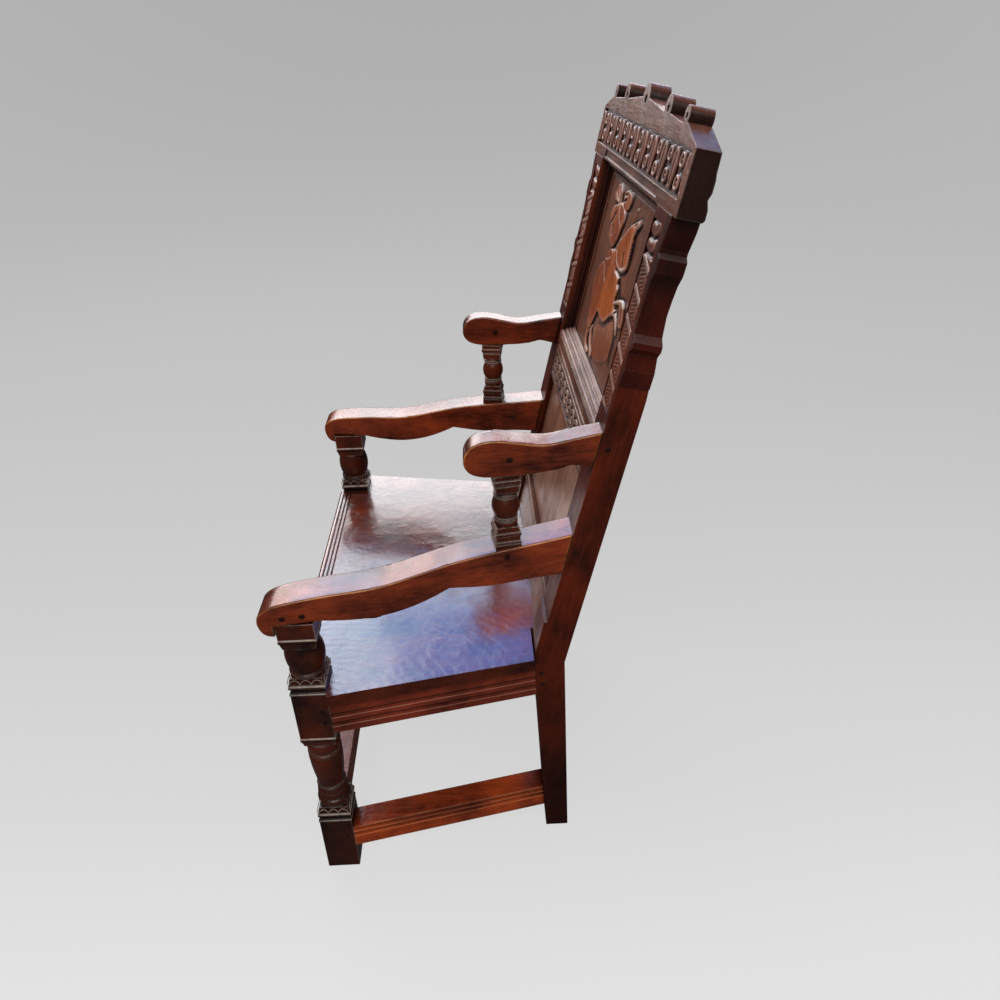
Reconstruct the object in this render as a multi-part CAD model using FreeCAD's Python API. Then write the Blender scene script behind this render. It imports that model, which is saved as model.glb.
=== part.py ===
import FreeCAD, Part
import math
import os

os.makedirs("parts", exist_ok=True)

# A joined oak armchair with a tall raked panelled back, a crest rail with scrolls,
# two tiers of arms, turned front posts and a boarded seat over a railed frame.
# X runs across the chair, +X to the sitter's left, +Y to the rear, +Z up.
# The solids are worked out with Y = 0 where the back meets the seat, and moved at the
# end so that the origin is under the middle of the whole chair, at floor height.

# Overall sizes
seat_height = 440.0
seat_thick = 22.0
frame_depth = 381.5
front_width = 648.4
back_width = 524.0
rake_angle = 12.15
whole_turn = 360.0

# Front posts, one turned length of oak from the floor to the lower arm
post_size = 56.0
foot_block_height = 163.0
seat_block_below = 122.0
seat_block_above = 26.0
post_ball_tall = 58.0
arm_block_tall = 49.0
foot_round = 6.0
collar_inset = 4.0
upper_collar_tall = 33.0
lower_collar_tall = 20.0
post_tenon_across = 20.0
post_tenon_along = 44.0
post_tenon_rise = 24.0

# Rear stiles, sawn to a bend at the seat
stile_face = 62.0
stile_foot_front = 18.7
stile_foot_back = 59.0
stile_knee_front = 7.3
stile_knee_front_drop = 10.0
stile_knee_back = 42.7
stile_knee_back_drop = 21.0
stile_proud = 5.0
stile_proud_rise = 64.0
stile_proud_run = 2.0
stile_thick = 43.0
stile_thin = 34.3
stile_thin_long = 117.0
stile_taper_long = 110.0
stile_chamfer_across = 5.0
stile_chamfer_deep = 4.0
carved_strip_wide = 46.0
carved_strip_inset = 6.0
carved_strip_deep = 3.5
carved_strip_start = 44.0
carved_strip_stop = 15.0

# Seat frame and stretchers
rail_thick = 32.0
rail_tall = 68.0
front_rail_setback = 2.0
scratch_deep = 2.5
scratch_high = 9.0
stretcher_low = 62.0
stretcher_tall = 49.0
side_stretcher_thick = 40.0
front_stretcher_thick = 30.0
rear_stretcher_thick = 26.0
rear_member_inset = 5.0

# Seat board
seat_overhang_front = 5.0
seat_overhang_side_front = 9.9
seat_overhang_side_rear = 15.1
seat_tongue = 28.0
reed_count = 3
reed_pitch = 7.5
reed_deep = 2.0
reed_half = 1.8
nosing = 6.0

# Lower arms
lower_arm_thick = 52.0
lower_arm_rear_lift = 24.0
lower_arm_deep = 68.0
lower_arm_overhang = 20.5
lower_arm_drop = 18.0

# Upper arms and their small balusters
upper_arm_thick = 38.0
upper_arm_rear_lift = 3.5
upper_arm_deep = 51.3
upper_arm_overhang = 56.0
upper_arm_spread = 16.5
baluster_y = 47.5
baluster_size = 38.0
baluster_inset = 3.0
baluster_base_tall = 33.0
baluster_turning_tall = 56.0
baluster_cap_tall = 28.5
baluster_tenon = 18.0
baluster_foot_tenon = 18.0
baluster_top_tenon = 34.0

# Raked back
bottom_rail_high = 76.0
lower_panel_tall = 215.0
mid_rail_tall = 85.0
upper_panel_tall = 282.5
back_rail_thick = 32.0
rail_moulding_deep = 2.5
sill_rise = 18.5
guilloche_end = 10.0
guilloche_margin = 11.0
guilloche_tall = 36.0
guilloche_deep = 2.5
upper_panel_face = 20.0
upper_panel_ground = 21.5
upper_panel_back = 30.0
upper_border_side = 28.0
upper_border_top = 19.0
upper_tongue_front = 22.5
upper_tongue_back = 28.5
panel_moulding_wide = 13.0
lower_panel_face = 10.0
lower_panel_back = 22.0
lower_tongue_front = 12.0
lower_tongue_back = 18.0
tongue_length = 8.0

# Crest rail
crest_overhang = 31.5
crest_tall = 72.0
crest_climb = 30.0
crest_foot_thick = 33.5
frieze_end = 12.5
frieze_margin = 17.0
frieze_tall = 52.0
frieze_deep = 4.0
crest_hollow_end = 10.0
crest_hollow_margin = 4.0
crest_hollow_tall = 10.0
crest_hollow_deep = 2.0
scroll_middle = 20.0
scroll_next = 15.5
scroll_outer = 11.0
scroll_eye_share = 0.3
scroll_eye_deep = 4.0
crest_tenon_rise = 40.0
crest_tenon_across = 34.0
crest_tenon_thick = 12.0

# Joints
tenon_thick = 12.0
tenon_length = 24.0
tenon_shoulder = 8.0
peg_radius = 4.0
peg_length = 40.0
peg_proud = 0.4
joint_gap = 0.3
mortise_floor = 1.0
peg_gap = 0.15
overrun = 60.0

# Derived places
stile_knee_front_height = seat_height - stile_knee_front_drop
stile_knee_back_height = seat_height - stile_knee_back_drop
seat_block_low = seat_height - seat_block_below
seat_block_high = seat_height + seat_block_above
arm_block_low = seat_block_high + post_ball_tall
lower_arm_seat = arm_block_low + arm_block_tall
lower_arm_rear_low = lower_arm_seat + lower_arm_rear_lift
lower_arm_rear_high = lower_arm_rear_low + lower_arm_deep
lower_arm_nose = frame_depth + lower_arm_overhang
upper_arm_nose = baluster_y + upper_arm_overhang
mid_rail_low = bottom_rail_high + lower_panel_tall
mid_rail_high = mid_rail_low + mid_rail_tall
sill_high = mid_rail_high + sill_rise
stile_rise = sill_high + upper_panel_tall
stile_thin_rise = stile_rise - stile_thin_long
stile_thick_rise = stile_thin_rise - stile_taper_long
crest_shoulder = stile_rise + crest_tall
stretcher_high = stretcher_low + stretcher_tall
half_back = back_width / 2
crest_half = half_back + crest_overhang
stile_inner = half_back - stile_face
half_front = front_width / 2
post_x = half_front - post_size / 2
post_y = -frame_depth + post_size / 2
post_back = -frame_depth + post_size
post_inner = half_front - post_size
rail_high = seat_height - seat_thick
rake = math.radians(rake_angle)
seat_front = -frame_depth - seat_overhang_front
rail_low = rail_high - rail_tall


# Shapes used by several pieces

def point(x, y, z):
    return FreeCAD.Vector(x, y, z)


def box(low, high):
    size = [b - a for a, b in zip(low, high)]
    return Part.makeBox(size[0], size[1], size[2], point(*low))


def polygon_prism(points, direction):
    wire = Part.makePolygon(points + points[:1])
    return Part.Face(wire).extrude(direction)


def side_prism(outline, x_low, x_high):
    """A solid with an outline of (y, z) points, running from x_low to x_high."""
    points = [point(x_low, y, z) for y, z in outline]
    return polygon_prism(points, point(x_high - x_low, 0, 0))


def plan_prism(outline, z_low, z_high):
    """A solid with an outline of (x, y) points, running from z_low to z_high."""
    points = [point(x, y, z_low) for x, y in outline]
    return polygon_prism(points, point(0, 0, z_high - z_low))


def lean(shape):
    """Turn a solid from the upright plane of the back to its rake over the seat."""
    shape.rotate(point(0, 0, 0), point(1, 0, 0), -rake_angle)
    shape.translate(point(0, 0, seat_height))
    return shape


def back_point(depth, rise):
    """The (y, z) place of a point behind the back's front face and up along it."""
    y = rise * math.sin(rake) + depth * math.cos(rake)
    z = seat_height + rise * math.cos(rake) - depth * math.sin(rake)
    return y, z


def mirrored(shape):
    return shape.mirror(point(0, 0, 0), point(1, 0, 0))


def both_sides(shape):
    return shape.fuse(mirrored(shape))


def grown(low, high, gap):
    """The corners of a box, moved out on every side by a gap."""
    return [v - gap for v in low], [v + gap for v in high]


def peg(x_outer, y, z):
    """A peg driven inwards from an outer face at x_outer."""
    length = peg_length + peg_proud
    start = point(x_outer + peg_proud, y, z)
    return Part.makeCylinder(peg_radius, length, start, point(-1, 0, 0))


def peg_hole(x_outer, y, z):
    radius = peg_radius + peg_gap
    start = point(x_outer + overrun, y, z)
    length = overrun + peg_length + mortise_floor
    return Part.makeCylinder(radius, length, start, point(-1, 0, 0))


def profile(rows, place):
    """The edges through rows of places, each given by two shares. A row has a third
    and a fourth share where the line bows through another such place on its way."""
    last = place(rows[0][0], rows[0][1])
    edges = []
    for row in rows[1:]:
        end = place(row[0], row[1])
        if len(row) == 4:
            edges.append(Part.Arc(last, place(row[2], row[3]), end).toShape())
        else:
            edges.append(Part.makeLine(last, end))
        last = end
    return edges


def turned(shares, radius, z_low, z_high):
    """A turning, from rows of (radius share, height share)."""
    def place(r_share, z_share):
        return point(r_share * radius, 0, z_low + z_share * (z_high - z_low))
    edges = profile([(0.0, 0.0)] + shares + [(0.0, 1.0)], place)
    edges.append(Part.makeLine(place(0.0, 1.0), place(0.0, 0.0)))
    face = Part.Face(Part.Wire(edges))
    return face.revolve(point(0, 0, 0), point(0, 0, 1), whole_turn)


def curve(points):
    spline = Part.BSplineCurve()
    spline.interpolate(points)
    return spline.toShape()


def splayed(x_outer, y_rear, splay, thick):
    """A plan strip whose outer edge passes x_outer at y_rear and splays forwards."""
    y_back = y_rear + overrun
    y_front = -lower_arm_nose - overrun
    x_back = x_outer - splay * overrun
    x_front = x_outer + splay * (y_rear - y_front)
    return [(x_back, y_back), (x_back - thick, y_back), (x_front - thick, y_front), (x_front, y_front)]


# Front posts

post_lower_turn_shares = [
    (0.92, 0.0), (0.86, 0.012), (0.86, 0.032),
    (0.90, 0.040),
    (0.90, 0.100, 0.99, 0.070),
    (0.83, 0.108),
    (0.85, 0.118),
    (0.83, 0.190, 0.92, 0.154),
    (0.81, 0.196),
    (0.79, 0.262, 0.88, 0.228),
    (0.76, 0.270),
    (0.77, 0.276),
    (0.77, 0.310, 0.87, 0.293),
    (0.755, 0.325),
    (0.98, 0.720, 0.90, 0.500),
    (0.89, 0.785, 0.97, 0.760),
    (0.89, 0.835, 0.99, 0.810),
    (0.86, 0.865, 0.85, 0.850),
    (0.88, 0.975, 0.99, 0.920),
    (0.90, 1.0),
]
post_ball_shares = [
    (0.96, 0.0), (0.94, 0.02),
    (0.94, 0.11, 1.0, 0.065),
    (0.88, 0.13),
    (0.88, 1.0, 1.08, 0.56),
]
upper_collar_shares = [
    (1.0, 0.0), (0.30, 0.36),
    (0.55, 0.38),
    (0.10, 0.40),
    (0.10, 0.60, 0.0, 0.50),
    (0.45, 0.62),
    (0.50, 0.86, 0.75, 0.74),
    (0.0, 0.88), (0.0, 0.98),
    (0.20, 1.0),
]
lower_collar_shares = [
    (1.0, 0.0), (0.35, 0.60),
    (0.50, 0.62),
    (0.10, 0.65),
    (0.10, 0.92, 0.0, 0.78),
    (0.25, 0.96),
    (0.20, 1.0),
]


def collar_rows(shares, half, inset, end, tall):
    """A collar's half width and height along its way from a block's end at height end."""
    rows = []
    for row in shares:
        places = [(half - row[i] * inset, end + row[i + 1] * tall) for i in range(0, len(row), 2)]
        rows.append(tuple(v for place in places for v in place))
    return rows


def backwards(rows):
    """The same line, followed from its other end."""
    turned_rows = [rows[-1][:2]]
    for before, row in zip(rows[-2::-1], rows[::-1]):
        turned_rows.append(before[:2] + row[2:])
    return turned_rows


def moulded_block(half, rows):
    """A square block whose four faces follow rows of (half width, height), mitred."""
    sides = []
    for side in (1, -1):
        sides.extend(profile(rows, lambda across, z: point(side * across, -half, z)))
    for across, z in (rows[0][:2], rows[-1][:2]):
        sides.append(Part.makeLine(point(-across, -half, z), point(across, -half, z)))
    face = Part.Face(Part.Wire(Part.__sortEdges__(sides)))
    slab = face.extrude(point(0, 2 * half, 0))
    other = slab.copy()
    other.rotate(point(0, 0, 0), point(0, 0, 1), whole_turn / 4)
    return slab.common(other)


def post_collars(block_low, block_high):
    half = post_size / 2
    low = collar_rows(lower_collar_shares, half, collar_inset, block_low, lower_collar_tall)
    high = collar_rows(upper_collar_shares, half, collar_inset, block_high, -upper_collar_tall)
    return low, backwards(high)


def post_blank():
    half = post_size / 2
    foot_rows = [(half, 0)] + post_collars(0, foot_block_height)[1]
    foot = moulded_block(half, foot_rows)
    bottom = [e for e in foot.Edges if e.BoundBox.ZMax < foot_round]
    foot = foot.makeFillet(foot_round, bottom)
    middle_low, middle_high = post_collars(seat_block_low, seat_block_high)
    middle = moulded_block(half, middle_low + middle_high)
    top_rows = post_collars(arm_block_low, lower_arm_seat)[0] + [(half, lower_arm_seat)]
    top = moulded_block(half, top_rows)
    column = turned(post_lower_turn_shares, half, foot_block_height, seat_block_low)
    ball = turned(post_ball_shares, half, seat_block_high, arm_block_low)
    across = post_tenon_across / 2
    along = post_tenon_along / 2
    tenon_low = [-across, -along, lower_arm_seat]
    tenon_high = [across, along, lower_arm_seat + post_tenon_rise]
    return foot.multiFuse([middle, top, column, ball, box(tenon_low, tenon_high)])


def post_tenon_corners():
    across = post_tenon_across / 2
    along = post_tenon_along / 2
    low = [post_x - across, post_y - along, lower_arm_seat]
    high = [post_x + across, post_y + along, lower_arm_seat + post_tenon_rise]
    return low, high


# Rear stiles

def leg_front(z):
    """How far back the leg's front face stands at height z under the seat."""
    run = stile_foot_front + stile_knee_front
    return stile_foot_front - run * z / stile_knee_front_height


def stile_outline():
    outline = [(stile_foot_front, 0), (-stile_knee_front, stile_knee_front_height)]
    outline.append(back_point(-stile_proud, stile_proud_rise))
    outline.append(back_point(0, stile_proud_rise + stile_proud_run))
    outline.append(back_point(0, stile_rise))
    outline.append(back_point(stile_thin, stile_rise))
    outline.append(back_point(stile_thin, stile_thin_rise))
    outline.append(back_point(stile_thick, stile_thick_rise))
    outline.append((stile_knee_back, stile_knee_back_height))
    outline.append((stile_foot_back, 0))
    return outline


def stile_blank():
    blank = side_prism(stile_outline(), stile_inner, half_back)
    bottom = [e for e in blank.Edges if e.BoundBox.ZMax < foot_round]
    blank = blank.makeFillet(foot_round, bottom)
    tenon = crest_tenon_corners(0)
    return blank.fuse(lean(box(*tenon)))


def crest_tenon_corners(gap):
    middle_x = stile_inner + stile_face / 2
    middle_d = stile_thin / 2
    low = [middle_x - crest_tenon_across / 2, middle_d - crest_tenon_thick / 2, stile_rise]
    high = [middle_x + crest_tenon_across / 2, middle_d + crest_tenon_thick / 2,
            stile_rise + crest_tenon_rise]
    low, high = grown(low, high, gap)
    return low, high


def stile_chamfer():
    """The stopped chamfer on the stile's inner front edge beside the upper panel."""
    z_low = mid_rail_high
    outline = [
        point(stile_inner, 0, z_low),
        point(stile_inner + stile_chamfer_across, 0, z_low),
        point(stile_inner, stile_chamfer_deep, z_low),
    ]
    return lean(polygon_prism(outline, point(0, 0, stile_rise - z_low)))


def carved_strip():
    """The sunk ground of the stile's carved strip."""
    middle = stile_inner + carved_strip_inset + carved_strip_wide / 2
    low = [middle - carved_strip_wide / 2, -overrun, mid_rail_high + carved_strip_start]
    high = [middle + carved_strip_wide / 2, carved_strip_deep, stile_rise - carved_strip_stop]
    return lean(box(low, high))


def panel_grooves():
    """The grooves in the stile that hold the two panels."""
    gap = joint_gap
    deep = stile_inner + tongue_length + mortise_floor
    upper_low = [stile_inner - overrun, upper_tongue_front - gap, sill_high - tongue_length]
    upper_high = [deep, upper_tongue_back + gap, stile_rise]
    lower_low = [stile_inner - overrun, lower_tongue_front - gap, bottom_rail_high - tongue_length]
    lower_high = [deep, lower_tongue_back + gap, mid_rail_low + tongue_length]
    return [lean(box(upper_low, upper_high)), lean(box(lower_low, lower_high))]


# Tenons, each as the corners of a box and the frame it belongs to

def back_rail_tenon(rise_low, rise_high):
    middle = (lower_tongue_front + upper_tongue_front) / 2
    low = [stile_inner, middle - tenon_thick / 2, rise_low + tenon_shoulder]
    high = [stile_inner + tenon_length, middle + tenon_thick / 2, rise_high - tenon_shoulder]
    return low, high


def mid_rail_tenon():
    return back_rail_tenon(mid_rail_low + tongue_length, mid_rail_high - tongue_length)


def bottom_rail_tenon():
    return back_rail_tenon(tenon_shoulder, bottom_rail_high - tongue_length)


def arm_tenon(z_low, z_high, x_outer, thick):
    """An arm's tenon into the stile, square to the raked face."""
    share_across = 1 / 4
    low_rise = (z_low - seat_height) / math.cos(rake) + tenon_shoulder
    high_rise = (z_high - seat_height) / math.cos(rake) - tenon_shoulder
    low = [x_outer - thick * (1 - share_across), 0, low_rise]
    high = [x_outer - thick * share_across, tenon_length, high_rise]
    return low, high


def lower_arm_tenon():
    return arm_tenon(lower_arm_rear_low, lower_arm_rear_high, half_back, lower_arm_thick)


def upper_arm_tenon():
    return arm_tenon(upper_arm_rear_low, upper_arm_rear_high, half_back, upper_arm_thick)


def side_member_tenons(z_low, z_high, thick):
    """Front and rear tenons of a side rail or side stretcher."""
    low_z = z_low + tenon_shoulder
    high_z = z_high - tenon_shoulder
    front_x = half_front - thick / 2
    rear_x = half_back - thick / 2
    front = ([front_x - tenon_thick / 2, post_back - tenon_length, low_z],
             [front_x + tenon_thick / 2, post_back, high_z])
    rear = ([rear_x - tenon_thick / 2, leg_front(low_z) - tenon_thick, low_z],
            [rear_x + tenon_thick / 2, leg_front(low_z) + tenon_length, high_z])
    return front, rear


def cross_member_tenon(x_inner, y_middle, z_low, z_high):
    low = [x_inner, y_middle - tenon_thick / 2, z_low + tenon_shoulder]
    high = [x_inner + tenon_length, y_middle + tenon_thick / 2, z_high - tenon_shoulder]
    return low, high


def front_member_y(thick, setback):
    return -frame_depth + setback + thick / 2


def rear_member_y(thick, z):
    return leg_front(z) + rear_member_inset + thick / 2


front_rail_y = front_member_y(rail_thick, front_rail_setback)
front_stretcher_y = front_member_y(front_stretcher_thick, front_rail_setback)
rear_rail_y = rear_member_y(rail_thick, rail_low)
rear_stretcher_y = rear_member_y(rear_stretcher_thick, stretcher_low)


def mortise(corners):
    low, high = grown(corners[0], corners[1], joint_gap)
    return low, high


# Arm places, with the lower arm's top in shares of its reach and of its depth

lower_top_shares = [
    (0.000, 1.000), (0.063, 0.949), (0.107, 0.912), (0.196, 0.853), (0.285, 0.779),
    (0.374, 0.691), (0.463, 0.559), (0.551, 0.412), (0.618, 0.324), (0.685, 0.287),
    (0.774, 0.279), (0.862, 0.243), (0.929, 0.191), (0.969, 0.110), (0.991, 0.000),
]

# Pegs: outer face, y and z of each, on the +X side

def front_face_y(z):
    """Where the back's front face stands at height z."""
    return (z - seat_height) * math.tan(rake)


def lower_arm_top(y):
    """The height of the lower arm's top at y, along a straight line between points."""
    share = (lower_arm_rear_y - y) / (lower_arm_rear_y + lower_arm_nose)
    before = [row for row in lower_top_shares if row[0] <= share][-1]
    after = [row for row in lower_top_shares if row[0] > share][0]
    part = (share - before[0]) / (after[0] - before[0])
    height = before[1] + part * (after[1] - before[1])
    return lower_arm_rear_low + height * lower_arm_deep


def arm_face(x_rear, y_rear, splay, y):
    return x_rear + splay * (y_rear - y)


lower_arm_rear_y = front_face_y(lower_arm_rear_high)
lower_arm_splay = (half_front - half_back) / (lower_arm_rear_y - post_y)
baluster_base_low = lower_arm_top(-baluster_y)
baluster_base_rise = baluster_base_low + baluster_base_tall
baluster_cap_low = baluster_base_rise + baluster_turning_tall
upper_arm_seat = baluster_cap_low + baluster_cap_tall
upper_arm_rear_low = upper_arm_seat + upper_arm_rear_lift
upper_arm_rear_high = upper_arm_rear_low + upper_arm_deep
upper_arm_rear_y = front_face_y(upper_arm_rear_high)
upper_arm_splay = upper_arm_spread / (upper_arm_rear_y + upper_arm_nose)
post_peg_spread = 13.5
post_peg_rise = 13.0
baluster_peg_below = 12.0
baluster_peg_above = 25.5
upper_peg_shift = 5.5
stile_peg_inset = 13.0
frame_peg_inset = 11.5
frame_peg_edge = 22.0


def lower_arm_pegs():
    places = []
    for side in (-1, 1):
        y = post_y + side * post_peg_spread
        x = arm_face(half_back, lower_arm_rear_y, lower_arm_splay, y)
        places.append((x, y, lower_arm_seat + post_peg_rise))
    x = arm_face(half_back, lower_arm_rear_y, lower_arm_splay, -baluster_y)
    places.append((x, -baluster_y, baluster_base_low - baluster_peg_below))
    return places


def upper_arm_pegs():
    y = -baluster_y + upper_peg_shift
    x = arm_face(half_back, upper_arm_rear_y, upper_arm_splay, y)
    return [(x, y, upper_arm_seat + baluster_peg_above)]


def stile_pegs():
    places = []
    for low, high in ((lower_arm_rear_low, lower_arm_rear_high),
                      (upper_arm_rear_low, upper_arm_rear_high)):
        z = (low + high) / 2
        places.append((half_back, front_face_y(z) + stile_peg_inset, z))
    return places


def frame_pegs(heights):
    places = []
    for z in heights:
        places.append((half_front, post_back - frame_peg_inset, z))
        places.append((half_back, leg_front(z) + frame_peg_inset, z))
    return places


seat_peg_places = frame_pegs([rail_low + frame_peg_edge, rail_high - frame_peg_edge])
stretcher_peg_places = frame_pegs([(stretcher_low + stretcher_high) / 2])
arm_peg_places = lower_arm_pegs() + upper_arm_pegs() + stile_pegs()


def with_peg_holes(shape, places):
    for x, y, z in places:
        shape = shape.cut(peg_hole(x, y, z))
    return shape


def peg_group(places):
    pegs = []
    for x, y, z in places:
        pegs.append(peg(x, y, z))
        pegs.append(mirrored(peg(x, y, z)))
    return Part.makeCompound(pegs)


# Pieces on the +X side

def make_post():
    post = post_blank()
    post.translate(point(post_x, post_y, 0))
    tenons = [
        side_member_tenons(rail_low, rail_high, rail_thick)[0],
        side_member_tenons(stretcher_low, stretcher_high, side_stretcher_thick)[0],
        cross_member_tenon(post_inner, front_rail_y, rail_low, rail_high),
        cross_member_tenon(post_inner, front_stretcher_y, stretcher_low, stretcher_high),
    ]
    for corners in tenons:
        post = post.cut(box(*mortise(corners)))
    return with_peg_holes(post, seat_peg_places + stretcher_peg_places + arm_peg_places)


def make_stile():
    stile = stile_blank().cut(stile_chamfer()).cut(carved_strip())
    for groove in panel_grooves():
        stile = stile.cut(groove)
    leaning = [mid_rail_tenon(), bottom_rail_tenon(), lower_arm_tenon(), upper_arm_tenon()]
    for corners in leaning:
        stile = stile.cut(lean(box(*mortise(corners))))
    upright = [
        side_member_tenons(rail_low, rail_high, rail_thick)[1],
        side_member_tenons(stretcher_low, stretcher_high, side_stretcher_thick)[1],
        cross_member_tenon(stile_inner, rear_rail_y, rail_low, rail_high),
        cross_member_tenon(stile_inner, rear_stretcher_y, stretcher_low, stretcher_high),
    ]
    for corners in upright:
        stile = stile.cut(box(*mortise(corners)))
    return with_peg_holes(stile, seat_peg_places + stretcher_peg_places + arm_peg_places)


def side_member(z_low, z_high, thick):
    """A side rail or stretcher: splayed in plan, shouldered on the post and the leg."""
    outline = [(post_back, z_low), (post_back, z_high), (leg_front(z_high), z_high),
               (leg_front(z_low), z_low)]
    plan = splayed_between_legs(thick)
    body = side_prism(outline, 0, half_front + overrun)
    body = body.common(plan_prism(plan, z_low, z_high))
    front, rear = side_member_tenons(z_low, z_high, thick)
    return body.fuse(box(*front)).fuse(rear_tenon(rear))


def splayed_between_legs(thick):
    splay = (half_front - half_back) / -post_back
    y_back = overrun
    y_front = post_back - overrun
    x_back = half_back - splay * y_back
    x_front = half_front + splay * overrun
    return [(x_back, y_back), (x_back - thick, y_back), (x_front - thick, y_front), (x_front, y_front)]


def rear_tenon(corners):
    """The rear tenon, starting at the leg's sloping front face."""
    low, high = corners
    outline = [(leg_front(low[2]), low[2]), (leg_front(high[2]), high[2]),
               (high[1], high[2]), (high[1], low[2])]
    return side_prism(outline, low[0], high[0])


def scratch_line(z, thick):
    """A scratched groove along the outer face of a side member at height z. Its
    upper side is square and its lower one slopes out."""
    plan = splayed_between_legs(thick)
    rear, front = plan[0], plan[-1]
    section = []
    for deep, up in scratch_section:
        x = front[0] - deep * scratch_deep
        section.append(point(x, front[1], z + up * scratch_high))
    return polygon_prism(section, point(rear[0] - front[0], rear[1] - front[1], 0))


rail_scratch_shares = [0.26, 0.54]
stretcher_scratch_shares = [0.60, 0.84]
scratch_section = [(1.0, 0.5), (1.0, 0.1), (0.0, -0.5), (-1.0, -0.5), (-1.0, 0.5)]


def scratched(shape, shares, z_low, z_high, thick):
    for share in shares:
        shape = shape.cut(scratch_line(z_low + share * (z_high - z_low), thick))
    return shape


def make_side_rail():
    rail = side_member(rail_low, rail_high, rail_thick)
    rail = scratched(rail, rail_scratch_shares, rail_low, rail_high, rail_thick)
    return with_peg_holes(rail, seat_peg_places)


def make_side_stretcher():
    thick = side_stretcher_thick
    stretcher = side_member(stretcher_low, stretcher_high, thick)
    stretcher = scratched(stretcher, stretcher_scratch_shares, stretcher_low, stretcher_high, thick)
    return with_peg_holes(stretcher, stretcher_peg_places)


# Arms. Outlines run in shares of the arm's reach and of its depth at the rear.

lower_nose_shares = [
    (0.991, 0.000), (1.000, -0.162), (0.997, -0.353), (0.987, -0.500), (0.970, -0.588),
]
lower_belly_shares = [
    (0.966, -0.368), (0.905, -0.426), (0.838, -0.463), (0.771, -0.471), (0.705, -0.426),
    (0.637, -0.338), (0.558, -0.176), (0.482, 0.029),
]
lower_rear_shares = [
    (0.482, 0.029), (0.424, -0.007), (0.357, -0.044), (0.277, -0.051), (0.183, -0.015),
    (0.102, 0.000),
]
upper_top_shares = [
    (0.000, 1.000), (0.124, 0.936), (0.231, 0.877), (0.339, 0.809), (0.419, 0.786),
    (0.499, 0.819), (0.606, 0.897), (0.713, 0.975), (0.794, 1.000), (0.874, 0.965),
    (0.939, 0.867), (0.981, 0.702), (1.000, 0.487),
]
upper_nose_shares = [
    (1.000, 0.487), (0.992, 0.273), (0.960, 0.107), (0.906, 0.000), (0.831, -0.058),
    (0.767, -0.068),
]
upper_belly_shares = [
    (0.596, -0.068), (0.525, -0.045), (0.446, -0.033), (0.339, 0.019), (0.258, 0.088),
    (0.221, 0.117), (0.178, 0.097), (0.124, 0.049), (0.060, 0.000),
]


def arm_points(shares, y_rear, y_front, z_low, z_high):
    reach = y_rear - y_front
    depth = z_high - z_low
    return [point(0, y_rear - a * reach, z_low + b * depth) for a, b in shares]


def arm_solid(edges, plan, z_low, z_high):
    face = Part.Face(Part.Wire(Part.__sortEdges__(edges)))
    slab = face.extrude(point(half_front + overrun, 0, 0))
    strip = plan_prism(plan, z_low, z_high)
    return slab.common(strip)


def lower_arm_edges():
    rear = lower_arm_rear_y
    low = lower_arm_rear_low
    high = lower_arm_rear_high
    top = arm_points(lower_top_shares, rear, -lower_arm_nose, low, high)
    nose = arm_points(lower_nose_shares, rear, -lower_arm_nose, low, high)
    belly = arm_points(lower_belly_shares, rear, post_back, low, high)
    rear_belly = arm_points(lower_rear_shares, rear, post_back, low, high)
    face_y = -frame_depth - joint_gap
    chin = point(0, face_y, lower_arm_seat - lower_arm_drop)
    seat_front_corner = point(0, face_y, lower_arm_seat)
    seat_back_corner = point(0, post_back, lower_arm_seat)
    foot_y = front_face_y(lower_arm_rear_low)
    foot = point(0, foot_y, lower_arm_rear_low)
    return [
        curve(top),
        curve(nose),
        Part.makeLine(nose[-1], chin),
        Part.makeLine(chin, seat_front_corner),
        Part.makeLine(seat_front_corner, seat_back_corner),
        Part.makeLine(seat_back_corner, belly[0]),
        curve(belly),
        curve(rear_belly),
        Part.makeLine(rear_belly[-1], foot),
        Part.makeLine(foot, top[0]),
    ]


def upper_arm_edges():
    rear = upper_arm_rear_y
    args = (rear, -upper_arm_nose, upper_arm_rear_low, upper_arm_rear_high)
    top = arm_points(upper_top_shares, *args)
    nose = arm_points(upper_nose_shares, *args)
    belly = arm_points(upper_belly_shares, *args)
    foot_y = front_face_y(upper_arm_rear_low)
    foot = point(0, foot_y, upper_arm_rear_low)
    return [
        curve(top),
        curve(nose),
        Part.makeLine(nose[-1], belly[0]),
        curve(belly),
        Part.makeLine(belly[-1], foot),
        Part.makeLine(foot, top[0]),
    ]


def baluster_x():
    y = -baluster_y
    lower = arm_face(half_back, lower_arm_rear_y, lower_arm_splay, y) - lower_arm_thick / 2
    upper = arm_face(half_back, upper_arm_rear_y, upper_arm_splay, y) - upper_arm_thick / 2
    return (lower + upper) / 2


def make_lower_arm():
    plan = splayed(half_back, lower_arm_rear_y, lower_arm_splay, lower_arm_thick)
    arm = arm_solid(lower_arm_edges(), plan, 0, lower_arm_rear_high + overrun)
    arm = arm.fuse(lean(box(*lower_arm_tenon())))
    low, high = mortise(post_tenon_corners())
    low[2] = lower_arm_seat - overrun
    arm = arm.cut(box(low, high))
    post_low = [post_inner - overrun, -frame_depth - joint_gap, lower_arm_seat - overrun]
    post_high = [half_front + overrun, post_back, lower_arm_seat]
    arm = arm.cut(box(post_low, post_high))
    arm = arm.cut(baluster_tenon_hole())
    return with_peg_holes(arm, arm_peg_places)


def baluster_tenon_hole():
    """A bore that takes both of the baluster's tenons, with a little room at each end."""
    radius = baluster_tenon / 2 + joint_gap
    low = baluster_base_low - baluster_foot_tenon - mortise_floor
    high = upper_arm_seat + baluster_top_tenon + mortise_floor
    return Part.makeCylinder(radius, high - low, point(baluster_x(), -baluster_y, low))


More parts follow.
